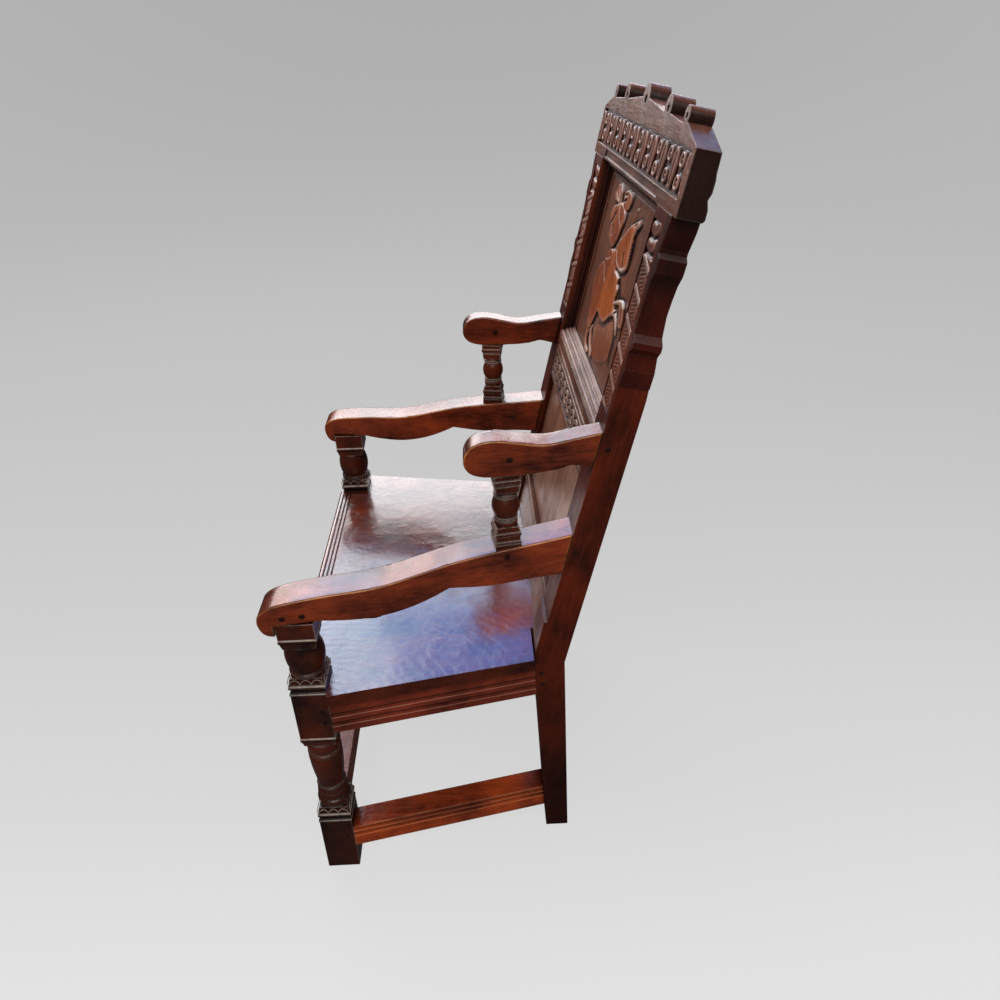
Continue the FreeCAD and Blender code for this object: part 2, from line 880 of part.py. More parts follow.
def make_upper_arm():
    plan = splayed(half_back, upper_arm_rear_y, upper_arm_splay, upper_arm_thick)
    arm = arm_solid(upper_arm_edges(), plan, 0, upper_arm_rear_high + overrun)
    arm = arm.fuse(lean(box(*upper_arm_tenon())))
    arm = arm.cut(baluster_tenon_hole())
    return with_peg_holes(arm, arm_peg_places)


baluster_shares = [
    (0.86, 0.0),
    (0.86, 0.13, 0.90, 0.065),
    (0.80, 0.145),
    (0.88, 0.155), (0.90, 0.175), (0.88, 0.195),
    (0.80, 0.205),
    (0.88, 0.215), (0.90, 0.235), (0.88, 0.255),
    (0.80, 0.270),
    (0.80, 0.800, 1.04, 0.535),
    (0.88, 0.815), (0.90, 0.835), (0.88, 0.855),
    (0.80, 0.870),
    (0.88, 0.880), (0.90, 0.900), (0.88, 0.920),
    (0.80, 0.935),
    (0.86, 1.0),
]
baluster_base_shares = [
    (0.0, 0.0), (0.0, 0.16),
    (0.45, 0.18),
    (0.45, 0.20),
    (0.10, 0.22),
    (0.10, 0.30, 0.0, 0.26),
    (0.40, 0.32), (0.40, 0.56),
    (0.10, 0.58),
    (0.10, 0.72, 0.0, 0.65),
    (0.50, 0.75),
    (1.0, 1.0),
]
baluster_cap_shares = [
    (1.0, 0.0), (0.55, 0.38),
    (0.70, 0.40), (0.70, 0.48),
    (0.10, 0.52),
    (0.10, 0.70, 0.0, 0.61),
    (0.40, 0.73),
    (0.30, 1.0),
]


def make_baluster():
    half = baluster_size / 2
    radius = baluster_tenon / 2
    low = baluster_base_low - baluster_foot_tenon
    high = upper_arm_seat + baluster_top_tenon
    base_rows = collar_rows(baluster_base_shares, half, baluster_inset, baluster_base_low,
                            baluster_base_tall)
    base = moulded_block(half, [(half, baluster_base_low - half)] + base_rows)
    cap = moulded_block(half, collar_rows(baluster_cap_shares, half, baluster_inset,
                                          baluster_cap_low, baluster_cap_tall))
    turning = turned(baluster_shares, half, baluster_base_rise, baluster_cap_low)
    base = on_arm(base).cut(lower_arm_bulk())
    top_tenon = Part.makeCylinder(radius, high - upper_arm_seat, point(0, 0, upper_arm_seat))
    foot_tenon = Part.makeCylinder(radius, baluster_base_rise - low, point(0, 0, low))
    piece = on_arm(turning.multiFuse([cap, top_tenon, foot_tenon])).fuse(base)
    return with_peg_holes(piece, arm_peg_places)


def on_arm(shape):
    """Set a baluster's part on the lower arm, turned to follow its splay."""
    splay_angle = math.degrees(math.atan(lower_arm_splay))
    shape.rotate(point(0, 0, 0), point(0, 0, 1), splay_angle)
    shape.translate(point(baluster_x(), -baluster_y, 0))
    return shape


def lower_arm_bulk():
    """The lower arm before its mortises, used to scribe the baluster's foot to it."""
    plan = splayed(half_back, lower_arm_rear_y, lower_arm_splay, lower_arm_thick)
    return arm_solid(lower_arm_edges(), plan, 0, lower_arm_rear_high + overrun)


# Pieces across the chair

def cross_member(x_inner, y_middle, thick, z_low, z_high):
    low = [-x_inner, y_middle - thick / 2, z_low]
    high = [x_inner, y_middle + thick / 2, z_high]
    member = box(low, high)
    tenon = box(*cross_member_tenon(x_inner, y_middle, z_low, z_high))
    return member.fuse(both_sides(tenon))


def front_scratch(z):
    """The same groove along the front face of a front member."""
    face = -frame_depth + front_rail_setback
    section = [(face + deep * scratch_deep, z + up * scratch_high) for deep, up in scratch_section]
    return side_prism(section, -post_inner, post_inner)


def make_front_rail():
    rail = cross_member(post_inner, front_rail_y, rail_thick, rail_low, rail_high)
    for share in rail_scratch_shares:
        rail = rail.cut(front_scratch(rail_low + share * (rail_high - rail_low)))
    return rail


def make_front_stretcher():
    thick = front_stretcher_thick
    member = cross_member(post_inner, front_stretcher_y, thick, stretcher_low, stretcher_high)
    for share in stretcher_scratch_shares:
        member = member.cut(front_scratch(stretcher_low + share * (stretcher_high - stretcher_low)))
    return member


def make_rear_rail():
    return cross_member(stile_inner, rear_rail_y, rail_thick, rail_low, rail_high)


def make_rear_stretcher():
    thick = rear_stretcher_thick
    return cross_member(stile_inner, rear_stretcher_y, thick, stretcher_low, stretcher_high)


def make_seat_board():
    gap = joint_gap
    rear = -stile_knee_front - gap
    edge_rear = half_back + seat_overhang_side_rear
    edge_front = half_front + seat_overhang_side_front
    half = [
        (stile_inner - gap, seat_tongue), (stile_inner - gap, rear), (edge_rear, rear),
        (edge_front, post_back + gap), (post_inner - gap, post_back + gap),
        (post_inner - gap, seat_front),
    ]
    outline = half + [(-x, y) for x, y in reversed(half)]
    board = plan_prism(outline, rail_high, seat_height)
    board = board.cut(nosing_waste())
    for index in range(reed_count):
        board = board.cut(reed_cut(seat_front + nosing + reed_pitch * (index + 1 / 2)))
    return board


def nosing_waste():
    """What is planed off the front edge to round its upper corner."""
    centre = point(-post_inner, seat_front + nosing, seat_height - nosing)
    corner = box([-post_inner, seat_front - nosing, seat_height - nosing],
                 [post_inner, seat_front + nosing, seat_height + nosing])
    rod = Part.makeCylinder(nosing, 2 * post_inner, centre, point(1, 0, 0))
    return corner.cut(rod)


def reed_cut(y):
    outline = [(y - reed_half, seat_height), (y, seat_height - reed_deep), (y + reed_half, seat_height)]
    return side_prism(outline, -post_inner, post_inner)


rail_face_shares = [
    (0.55, 0.0),
    (0.55, 0.094, 0.0, 0.047),
    (0.85, 0.103),
    (0.0, 0.118), (0.0, 0.615),
    (0.80, 0.628),
    (0.45, 0.638),
    (0.45, 0.718, 0.0, 0.678),
    (0.85, 0.728), (0.85, 0.765),
    (0.0, 0.785), (0.0, 0.958),
    (0.60, 0.966),
    (0.30, 0.972),
    (0.0, 1.0, 0.0, 0.985),
]
sill_shares = [
    (0.0, 0.0), (0.03, 0.04),
    (0.33, 0.27, 0.14, 0.24),
    (0.37, 0.37),
    (0.60, 0.58, 0.46, 0.52),
    (0.65, 0.57),
    (0.78, 0.76, 0.67, 0.72),
    (0.82, 0.76),
    (1.0, 1.0),
]


def back_rail_edges(face_rise_low, face_rise_high, face_shares):
    """The moulded front of a back rail, from its lower to its upper edge."""
    def place(deep, up):
        rise = face_rise_low + up * (face_rise_high - face_rise_low)
        return point(-stile_inner, deep * rail_moulding_deep, rise)
    return profile(face_shares, place)


def sill_edges():
    """The moulded slope that rises from the rail's face to the foot of the panel."""
    def place(deep, up):
        return point(-stile_inner, deep * upper_panel_face, mid_rail_high + up * sill_rise)
    return profile(sill_shares, place)


def tenoned_back_rail(edges, corners):
    """A rail of the raked back from the edges of its front, with its end tenons."""
    first = edges[0].Vertexes[0].Point
    last = edges[-1].Vertexes[-1].Point
    top_back = point(-stile_inner, back_rail_thick, last.z)
    low_back = point(-stile_inner, back_rail_thick, first.z)
    closing = [Part.makeLine(last, top_back), Part.makeLine(top_back, low_back),
               Part.makeLine(low_back, first)]
    section = Part.Face(Part.Wire(edges + closing))
    rail = section.extrude(point(2 * stile_inner, 0, 0))
    return rail.fuse(both_sides(box(*corners)))


def rail_groove(front, back, rise_low, rise_high):
    low = [-stile_inner, front - joint_gap, rise_low]
    high = [stile_inner, back + joint_gap, rise_high]
    return box(low, high)


def make_mid_rail():
    edges = back_rail_edges(mid_rail_low, mid_rail_high, rail_face_shares) + sill_edges()
    rail = tenoned_back_rail(edges, mid_rail_tenon())
    half = stile_inner - guilloche_end
    low = mid_rail_low + guilloche_margin
    rail = rail.cut(box([-half, -overrun, low], [half, guilloche_deep, low + guilloche_tall]))
    top = sill_high - tongue_length - mortise_floor
    rail = rail.cut(rail_groove(upper_tongue_front, upper_tongue_back, top, sill_high + overrun))
    bottom = mid_rail_low + tongue_length + mortise_floor
    rail = rail.cut(rail_groove(lower_tongue_front, lower_tongue_back, mid_rail_low - overrun, bottom))
    return rail


bottom_rail_shares = [
    (0.0, 0.0), (0.0, 0.88),
    (0.60, 0.90),
    (0.30, 0.91),
    (0.30, 1.0, 0.0, 0.955),
]


def make_bottom_rail():
    edges = back_rail_edges(-seat_thick, bottom_rail_high, bottom_rail_shares)
    rail = tenoned_back_rail(edges, bottom_rail_tenon())
    top = bottom_rail_high - tongue_length - mortise_floor
    high = bottom_rail_high + overrun
    rail = rail.cut(rail_groove(lower_tongue_front, lower_tongue_back, top, high))
    rail = lean(rail)
    floor_low = [-stile_inner, -overrun, seat_height - overrun]
    floor_high = [stile_inner, overrun, seat_height + joint_gap]
    return rail.cut(box(floor_low, floor_high))


def tongued_panel(face, back, tongue_front, tongue_back, rise_low, rise_high):
    gap = joint_gap
    low = [-stile_inner + gap, face, rise_low + gap]
    high = [stile_inner - gap, back, rise_high - gap]
    across = stile_inner + tongue_length
    tongue_low = [-across, tongue_front, rise_low - tongue_length]
    tongue_high = [across, tongue_back, rise_high + tongue_length]
    return box(low, high).fuse(box(tongue_low, tongue_high))


def make_upper_panel():
    panel = tongued_panel(upper_panel_face, upper_panel_back, upper_tongue_front,
                          upper_tongue_back, sill_high, stile_rise)
    ground_half = stile_inner - upper_border_side
    low = [-ground_half, -overrun, sill_high - overrun]
    high = [ground_half, upper_panel_ground, stile_rise - upper_border_top]
    return lean(panel.cut(box(low, high)))


panel_moulding_shares = [
    (0.0, 0.0),
    (0.38, 0.42, 0.10, 0.30),
    (0.46, 0.42),
    (0.70, 0.74, 0.64, 0.52),
    (0.66, 0.78),
    (0.72, 0.80),
    (1.0, 1.0, 0.94, 0.84),
    (0.0, 1.0), (0.0, 0.0),
]


def panel_moulding(place, direction, mitre):
    """A length of the moulding round the upper panel, cut to its mitres. The mitre
    is the strip's outline on the face of the back, as (x, rise) points."""
    section = Part.Face(Part.Wire(profile(panel_moulding_shares, place)))
    points = [point(x, 0, v) for x, v in mitre]
    return section.extrude(direction).common(polygon_prism(points, point(0, stile_thin, 0)))


def moulding_depth(share):
    return stile_chamfer_deep + share * (upper_panel_face - stile_chamfer_deep)


def make_side_moulding():
    wide = panel_moulding_wide
    inner = stile_inner - wide

    def place(across, deep):
        return point(stile_inner - across * wide, moulding_depth(deep), mid_rail_high)
    mitre = [(stile_inner, mid_rail_high), (stile_inner, stile_rise),
             (inner, stile_rise - wide), (inner, mid_rail_high)]
    strip = panel_moulding(place, point(0, 0, stile_rise - mid_rail_high), mitre)
    return lean(strip.cut(make_mid_rail()))


def make_top_moulding():
    wide = panel_moulding_wide
    inner = stile_inner - wide

    def place(down, deep):
        return point(-stile_inner, moulding_depth(deep), stile_rise - down * wide)
    mitre = [(-stile_inner, stile_rise), (stile_inner, stile_rise),
             (inner, stile_rise - wide), (-inner, stile_rise - wide)]
    return lean(panel_moulding(place, point(2 * stile_inner, 0, 0), mitre))


def make_lower_panel():
    panel = tongued_panel(lower_panel_face, lower_panel_back, lower_tongue_front,
                          lower_tongue_back, bottom_rail_high, mid_rail_low)
    return lean(panel)


# Crest rail and ear pieces

scroll_place_shares = [0.0, 0.453, 0.760]
crest_step_shares = [(0.790, 0.633), (0.722, 0.567), (0.511, 0.700), (0.402, 0.700), (0.068, 1.0)]
scroll_rise_shares = [0.933, 0.867, 0.833]


def crest_front():
    """The crest's front: a low gable between the shoulders, as a flat face."""
    right = [(crest_half, stile_rise), (crest_half, crest_shoulder)]
    for across, up in crest_step_shares:
        right.append((across * crest_half, crest_shoulder + up * crest_climb))
    outline = right + [(-x, v) for x, v in reversed(right)]
    points = [point(x, 0, v) for x, v in outline]
    return Part.Face(Part.makePolygon(points + points[:1]))


def crest_scrolls():
    rows = zip(scroll_place_shares, scroll_rise_shares, (scroll_middle, scroll_next, scroll_outer))
    rolls = []
    for across, up, radius in rows:
        for side in (-1, 1):
            centre = point(side * across * crest_half, 0, crest_shoulder + up * crest_climb)
            rolls.append(Part.makeCylinder(radius, crest_foot_thick, centre, point(0, 1, 0)))
    return rolls


crest_back_shares = [
    (0.0, 0.93), (0.045, 1.0), (0.19, 0.985), (0.33, 0.88), (0.44, 0.955), (0.62, 0.94),
    (0.71, 0.90), (1.0, 0.86),
]


def crest_section():
    """The hewn back of the crest, thinner towards the top, as a (depth, rise) outline."""
    height = crest_shoulder - stile_rise
    outline = [(0, stile_rise)]
    for up, deep in crest_back_shares:
        outline.append((deep * crest_foot_thick, stile_rise + up * height))
    top = crest_shoulder + crest_climb + overrun
    outline.append((crest_back_shares[-1][1] * crest_foot_thick, top))
    outline.append((0, top))
    return side_prism(outline, -crest_half, crest_half)


def scroll_eyes():
    """The hole drilled in the middle of each scroll's front end."""
    drills = []
    rows = zip(scroll_place_shares, scroll_rise_shares, (scroll_middle, scroll_next, scroll_outer))
    for across, up, radius in rows:
        for side in (-1, 1):
            centre = point(side * across * crest_half, -scroll_eye_deep,
                           crest_shoulder + up * crest_climb)
            drills.append(Part.makeCylinder(scroll_eye_share * radius, 2 * scroll_eye_deep, centre,
                                            point(0, 1, 0)))
    return drills


def sunk_band(half, margin, tall, deep):
    """What is cut from the crest's face for a band that starts above its lower edge."""
    low = stile_rise + margin
    return box([-half, -overrun, low], [half, deep, low + tall])


def make_crest():
    crest = crest_front().extrude(point(0, crest_foot_thick, 0))
    crest = crest.multiFuse(crest_scrolls()).common(crest_section())
    crest = crest.cut(scroll_eyes())
    crest = crest.cut(sunk_band(crest_half - frieze_end, frieze_margin, frieze_tall, frieze_deep))
    crest = crest.cut(sunk_band(stile_inner - crest_hollow_end, crest_hollow_margin,
                                crest_hollow_tall, crest_hollow_deep))
    low, high = crest_tenon_corners(joint_gap)
    crest = crest.cut(both_sides(box(low, high)))
    across = stile_inner + tongue_length + mortise_floor
    groove_low = [-across, upper_tongue_front - joint_gap, stile_rise - overrun]
    groove_high = [across, upper_tongue_back + joint_gap, stile_rise + tongue_length + mortise_floor]
    return lean(crest.cut(box(groove_low, groove_high)))


ear_wide = 16.5
ear_tall = 211.0
ear_low = stile_rise - ear_tall
ear_outline_shares = [
    (0.15, 0.0), (0.50, 0.110), (0.30, 0.185), (0.26, 0.210), (0.87, 0.256), (0.92, 0.294),
    (0.33, 0.327), (0.28, 0.351), (0.18, 0.464), (0.27, 0.550), (0.47, 0.635), (0.95, 0.700),
    (0.95, 0.776), (0.50, 0.796), (0.45, 0.820), (0.69, 0.877), (0.93, 0.934), (1.0, 1.0),
]


def make_ear():
    """The shaped ear piece on the stile's outer edge, under the crest's end."""
    height = stile_rise - ear_low
    outline = [(half_back, ear_low)]
    for across, up in ear_outline_shares:
        outline.append((half_back + across * ear_wide, ear_low + up * height))
    outline.append((half_back, stile_rise))
    points = [point(x, 0, v) for x, v in outline]
    ear = polygon_prism(points, point(0, stile_thick, 0))
    section = [(0, ear_low), (0, stile_rise), (stile_thin, stile_rise), (stile_thin, stile_thin_rise),
               (ear_back(ear_low), ear_low)]
    return lean(ear.common(side_prism(section, 0, half_back + ear_wide)))


def ear_back(rise):
    """The stile's thickness where it tapers between its thick and its thin part."""
    share = (rise - stile_thick_rise) / (stile_thin_rise - stile_thick_rise)
    return stile_thick + share * (stile_thin - stile_thick)


# The whole chair

def chair():
    pieces = {}
    pairs = [
        ("front_post", make_post()),
        ("rear_stile", make_stile()),
        ("side_seat_rail", make_side_rail()),
        ("side_stretcher", make_side_stretcher()),
        ("lower_arm", make_lower_arm()),
        ("upper_arm", make_upper_arm()),
        ("arm_baluster", make_baluster()),
        ("ear_piece", make_ear()),
        ("panel_moulding", make_side_moulding()),
    ]
    for name, shape in pairs:
        pieces[name + "_left"] = shape
        pieces[name + "_right"] = mirrored(shape)
    pieces["front_seat_rail"] = make_front_rail()
    pieces["rear_seat_rail"] = make_rear_rail()
    pieces["front_stretcher"] = make_front_stretcher()
    pieces["rear_stretcher"] = make_rear_stretcher()
    pieces["seat_board"] = make_seat_board()
    pieces["back_mid_rail"] = lean(make_mid_rail())
    pieces["back_bottom_rail"] = make_bottom_rail()
    pieces["upper_panel"] = make_upper_panel()
    pieces["lower_panel"] = make_lower_panel()
    pieces["panel_moulding_top"] = make_top_moulding()
    pieces["crest_rail"] = make_crest()
    pieces["seat_frame_pegs"] = peg_group(seat_peg_places)
    pieces["stretcher_pegs"] = peg_group(stretcher_peg_places)
    pieces["lower_arm_pegs"] = peg_group(lower_arm_pegs())
    pieces["upper_arm_pegs"] = peg_group(upper_arm_pegs())
    pieces["stile_pegs"] = peg_group(stile_pegs())
    return pieces


def export(pieces):
    whole = Part.makeCompound(list(pieces.values())).BoundBox
    middle = (whole.YMin + whole.YMax) / 2
    for name, shape in pieces.items():
        shape.translate(point(0, -middle, 0))
        shape.exportStep("parts/" + name + ".step")
        print(name, len(shape.Solids), "solid", round(shape.Volume), shape.isValid())
    print("moved back by", round(-middle, 3))


export(chair())
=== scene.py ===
import math
import bmesh
import bpy
import numpy as np
from mathutils import Matrix, Vector


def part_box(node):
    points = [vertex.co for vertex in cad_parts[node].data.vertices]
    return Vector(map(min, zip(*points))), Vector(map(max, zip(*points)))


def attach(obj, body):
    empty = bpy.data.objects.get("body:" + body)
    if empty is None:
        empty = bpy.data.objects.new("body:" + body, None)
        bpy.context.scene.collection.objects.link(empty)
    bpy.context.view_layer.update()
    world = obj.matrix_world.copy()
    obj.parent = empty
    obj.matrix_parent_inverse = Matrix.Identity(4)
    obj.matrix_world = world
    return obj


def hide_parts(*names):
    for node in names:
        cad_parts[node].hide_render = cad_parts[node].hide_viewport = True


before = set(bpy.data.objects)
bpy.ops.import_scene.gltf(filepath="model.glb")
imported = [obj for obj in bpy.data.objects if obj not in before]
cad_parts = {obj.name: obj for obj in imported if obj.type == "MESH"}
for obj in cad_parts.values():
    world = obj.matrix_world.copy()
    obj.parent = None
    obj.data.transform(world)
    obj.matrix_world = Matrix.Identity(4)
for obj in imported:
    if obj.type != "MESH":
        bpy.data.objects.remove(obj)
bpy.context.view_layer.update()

# Camera. It stands to the sitter's left, above the arms, and looks down on the near side.
# The chair is seen almost from its side, so the raked back shows its carved face thinly.
camera_place = Vector((1.14313, 0.02081, 1.27265))
camera_yaw = math.radians(-1.7561)
camera_down = math.radians(31.6473)
camera_roll = math.radians(-1.2963)
camera_focal_share = 0.748135

def placed(name, data):
    """A new object of the scene with this data."""
    made = bpy.data.objects.new(name, data)
    bpy.context.collection.objects.link(made)
    return made

camera = placed("camera", bpy.data.cameras.new("camera"))
camera.data.sensor_width = 36.0
camera.data.lens = camera_focal_share * camera.data.sensor_width
camera.data.clip_end = 100.0
ahead = Vector((-math.cos(camera_yaw) * math.cos(camera_down),
                -math.sin(camera_yaw) * math.cos(camera_down),
                -math.sin(camera_down)))
level = Vector((-math.sin(camera_yaw), math.cos(camera_yaw), 0.0))
upright = level.cross(ahead)
right = math.cos(camera_roll) * level + math.sin(camera_roll) * upright
top = math.cos(camera_roll) * upright - math.sin(camera_roll) * level
turn = Matrix((right, top, -ahead)).transposed().to_4x4()
camera.matrix_world = Matrix.Translation(camera_place) @ turn
bpy.context.scene.camera = camera

# Studio. A pale sweep, lit from within like a light table and paler towards the front, runs
# flat from the chair and then rises all round. Soft cards beyond the chair, white low down
# and blue higher up, are mirrored in its waxed tops and brighten nothing.
sweep_profile = [(0.0, 0.0), (1.5, 0.0), (3.0, 0.0), (4.5, 0.0), (6.0, 0.06), (7.2, 0.35),
                 (8.2, 1.0), (8.9, 2.0), (9.3, 3.2), (9.5, 4.8)]
sweep_sides = 72
sweep_grey = 0.08
sweep_mirrored_grey = 0.03
sweep_roughness = 0.95
sweep_shine = 0.05
sweep_glow = [(-9.0, 0.395), (-6.2, 0.444), (-3.1, 0.471), (-1.7, 0.491), (-0.9, 0.524),
              (-0.4, 0.560), (0.2, 0.634), (0.56, 0.714)]
sweep_shed_share = 0.38
sweep_mirrored_share = 0.15
sweep_near_x = 1.0
sweep_far_x = -10.0
world_grey = (1.0, 1.0, 1.02, 1.0)
world_strength = 0.34
world_mirrored = 0.10

def add(tree, kind, inputs=None, **settings):
    """One shader node, with its settings, and its inputs either linked or given a value."""
    made = tree.nodes.new("ShaderNode" + kind)
    for key, value in settings.items():
        setattr(made, key, value)
    for key, value in (inputs or {}).items():
        if isinstance(value, bpy.types.NodeSocket):
            tree.links.new(value, made.inputs[key])
        else:
            made.inputs[key].default_value = value
    return made

def reach(tree, value, low, high, low_out=0.0, high_out=1.0):
    """A value carried from one span to another, and held at its ends."""
    return add(tree, "MapRange", {"Value": value, "From Min": low, "From Max": high,
                                  "To Min": low_out, "To Max": high_out}).outputs[0]

def sums(tree, first, second, operation="ADD"):
    """The sum of two values, or their product or whatever else is asked for."""
    return add(tree, "Math", {0: first, 1: second}, operation=operation).outputs[0]

sweep_points = [(0.0, 0.0, 0.0)]
sweep_faces = []
for out, rise in sweep_profile[1:]:
    for step in range(sweep_sides):
        angle = math.tau * step / sweep_sides
        sweep_points.append((out * math.cos(angle), out * math.sin(angle), rise))
for step in range(sweep_sides):
    after = (step + 1) % sweep_sides
    sweep_faces.append((0, 1 + step, 1 + after))
    for ring in range(len(sweep_profile) - 2):
        first = 1 + ring * sweep_sides
        sweep_faces.append((first + step, first + sweep_sides + step,
                            first + sweep_sides + after, first + after))
floor_mesh = bpy.data.meshes.new("floor")
floor_mesh.from_pydata(sweep_points, [], sweep_faces)
floor_mesh.shade_smooth()
floor = placed("floor", floor_mesh)
floor_paint = bpy.data.materials.new("floor_paint")
floor_paint.use_nodes = True
floor_tree = floor_paint.node_tree
floor_shader = floor_tree.nodes["Principled BSDF"]
floor_place = add(floor_tree, "TexCoord").outputs["Object"]
floor_x = add(floor_tree, "SeparateXYZ", {"Vector": floor_place}).outputs["X"]
floor_ramp = add(floor_tree, "ValToRGB",
                 {"Fac": reach(floor_tree, floor_x, sweep_far_x, sweep_near_x)})
floor_stops = floor_ramp.color_ramp.elements
floor_stops.remove(floor_stops[1])
for index, (stop_x, glow) in enumerate(sweep_glow):
    stop_share = (stop_x - sweep_far_x) / (sweep_near_x - sweep_far_x)
    stop = floor_stops[0] if index == 0 else floor_stops.new(stop_share)
    stop.position = stop_share
    stop.color = (glow, glow, glow, 1.0)
floor_ray = add(floor_tree, "LightPath").outputs
floor_seen = reach(floor_tree, floor_ray["Is Camera Ray"], 0.0, 1.0, sweep_shed_share, 1.0)
floor_dim = reach(floor_tree, floor_ray["Is Glossy Ray"], 0.0, 1.0, 1.0, sweep_mirrored_share)
floor_level = sums(floor_tree, floor_dim, floor_seen, "MULTIPLY")
floor_glow = sums(floor_tree, floor_ramp.outputs["Color"], floor_level, "MULTIPLY")
floor_tone = reach(floor_tree, floor_ray["Is Glossy Ray"], 0.0, 1.0, sweep_grey,
                   sweep_mirrored_grey)
floor_tree.links.new(floor_tone, floor_shader.inputs["Base Color"])
floor_tree.links.new(floor_glow, floor_shader.inputs["Emission Strength"])
floor_shader.inputs["Emission Color"].default_value = (1.0, 1.0, 1.0, 1.0)
floor_shader.inputs["Roughness"].default_value = sweep_roughness
floor_shader.inputs["Specular IOR Level"].default_value = sweep_shine
floor_mesh.materials.append(floor_paint)
world = bpy.data.worlds.new("studio")
world.use_nodes = True
bpy.context.scene.world = world
bpy.context.scene.view_settings.view_transform = "Standard"
world_tree = world.node_tree
world_shader = world_tree.nodes["Background"]
world_shader.inputs["Color"].default_value = world_grey
world_ray = add(world_tree, "LightPath").outputs["Is Glossy Ray"]
world_level = reach(world_tree, world_ray, 0.0, 1.0, world_strength, world_mirrored)
world_tree.links.new(world_level, world_shader.inputs["Strength"])

def softbox(name, place, target, size, power, colour, brightens=True):
    """A large soft light that is mirrored but isn't itself seen, and may brighten nothing."""
    light = bpy.data.lights.new(name, "AREA")
    light.shape = "RECTANGLE"
    light.size = size[0]
    light.size_y = size[1]
    light.energy = power
    light.color = colour
    lamp = placed(name, light)
    lamp.location = place
    lamp.rotation_euler = (Vector(target) - Vector(place)).to_track_quat("-Z", "Y").to_euler()
    lamp.visible_camera = False
    lamp.visible_diffuse = brightens


# Each card beyond the chair has a name, a middle along Y and Z, a width, a height, a
# brightness and a colour. The three lamps after them light the chair itself.
card_x = -3.6
card_aim_z = 0.5
cards = [("window_low", -0.5, 1.80, 4.2, 0.64, 4.2, (1.0, 0.97, 0.97)),
         ("window_high", -0.5, 2.33, 4.2, 0.42, 7.2, (0.98, 0.965, 0.98)),
         ("haze_rear", 1.05, 3.03, 1.5, 0.74, 2.0, (1.0, 0.70, 0.64)),
         ("haze_middle", -0.65, 3.14, 1.9, 0.60, 5.2, (0.84, 0.92, 1.0)),
         ("haze_front", -2.5, 2.95, 1.8, 1.1, 8.5, (1.0, 0.74, 0.68)),
         ("sky_front", -1.65, 4.35, 1.6, 1.5, 4.5, (0.10, 0.48, 1.0)),
         ("sky_middle", -0.2, 4.35, 1.3, 1.5, 4.9, (0.05, 0.30, 1.0)),
         ("sky_rear", 1.3, 4.35, 1.7, 1.5, 2.8, (0.36, 0.30, 0.95)),
         ("sky_corner", 2.85, 4.50, 1.3, 1.8, 2.6, (0.10, 0.50, 1.0))]
for name, along, rise, wide, tall, brightness, colour in cards:
    softbox(name, (card_x, along, rise), (0, along, card_aim_z), (wide, tall),
            brightness * math.pi * wide * tall, colour, False)
softbox("key_beyond", (-2.4, -1.6, 4.2), (0, 0, 0.6), (2.6, 2.6), 90, (1.0, 0.97, 0.95))
softbox("near_above", (3.4, -0.4, 3.6), (1.2, 0, 0.0), (3.0, 3.0), 22, (1.0, 0.98, 0.97))
softbox("near_strip", (2.7, 0.1, 3.9), (0.3, 0, 0.6), (3.2, 0.7), 42, (1.0, 0.97, 0.95))

# Front posts. Each is one turned length of oak with square blocks left for the joints,
# nearly black with age and wax, its beads and arrises rubbed pale with a painted highlight
# along them. Painted lines of highlight and shade run round its collars, and it is darker
# towards the bottom.
dust_and_sheen_colour = "9a908c"
coat_roughness = 0.14
collar_tops = (0.163, 0.466)
collar_bases = (0.318, 0.524)

def linear(code):
    """A colour in linear light, from its usual six-digit code."""
    parts = [int(code[i:i + 2], 16) / 255 for i in (0, 2, 4)]
    light = [c / 12.92 if c <= 0.04045 else ((c + 0.055) / 1.055) ** 2.4 for c in parts]
    return (*light, 1.0)

def mix(tree, factor, first, second, blend="MIX"):
    """One colour over another by a factor, in some way of blending."""
    return add(tree, "Mix", {0: factor, 6: first, 7: second}, data_type="RGBA",
               blend_type=blend).outputs[2]

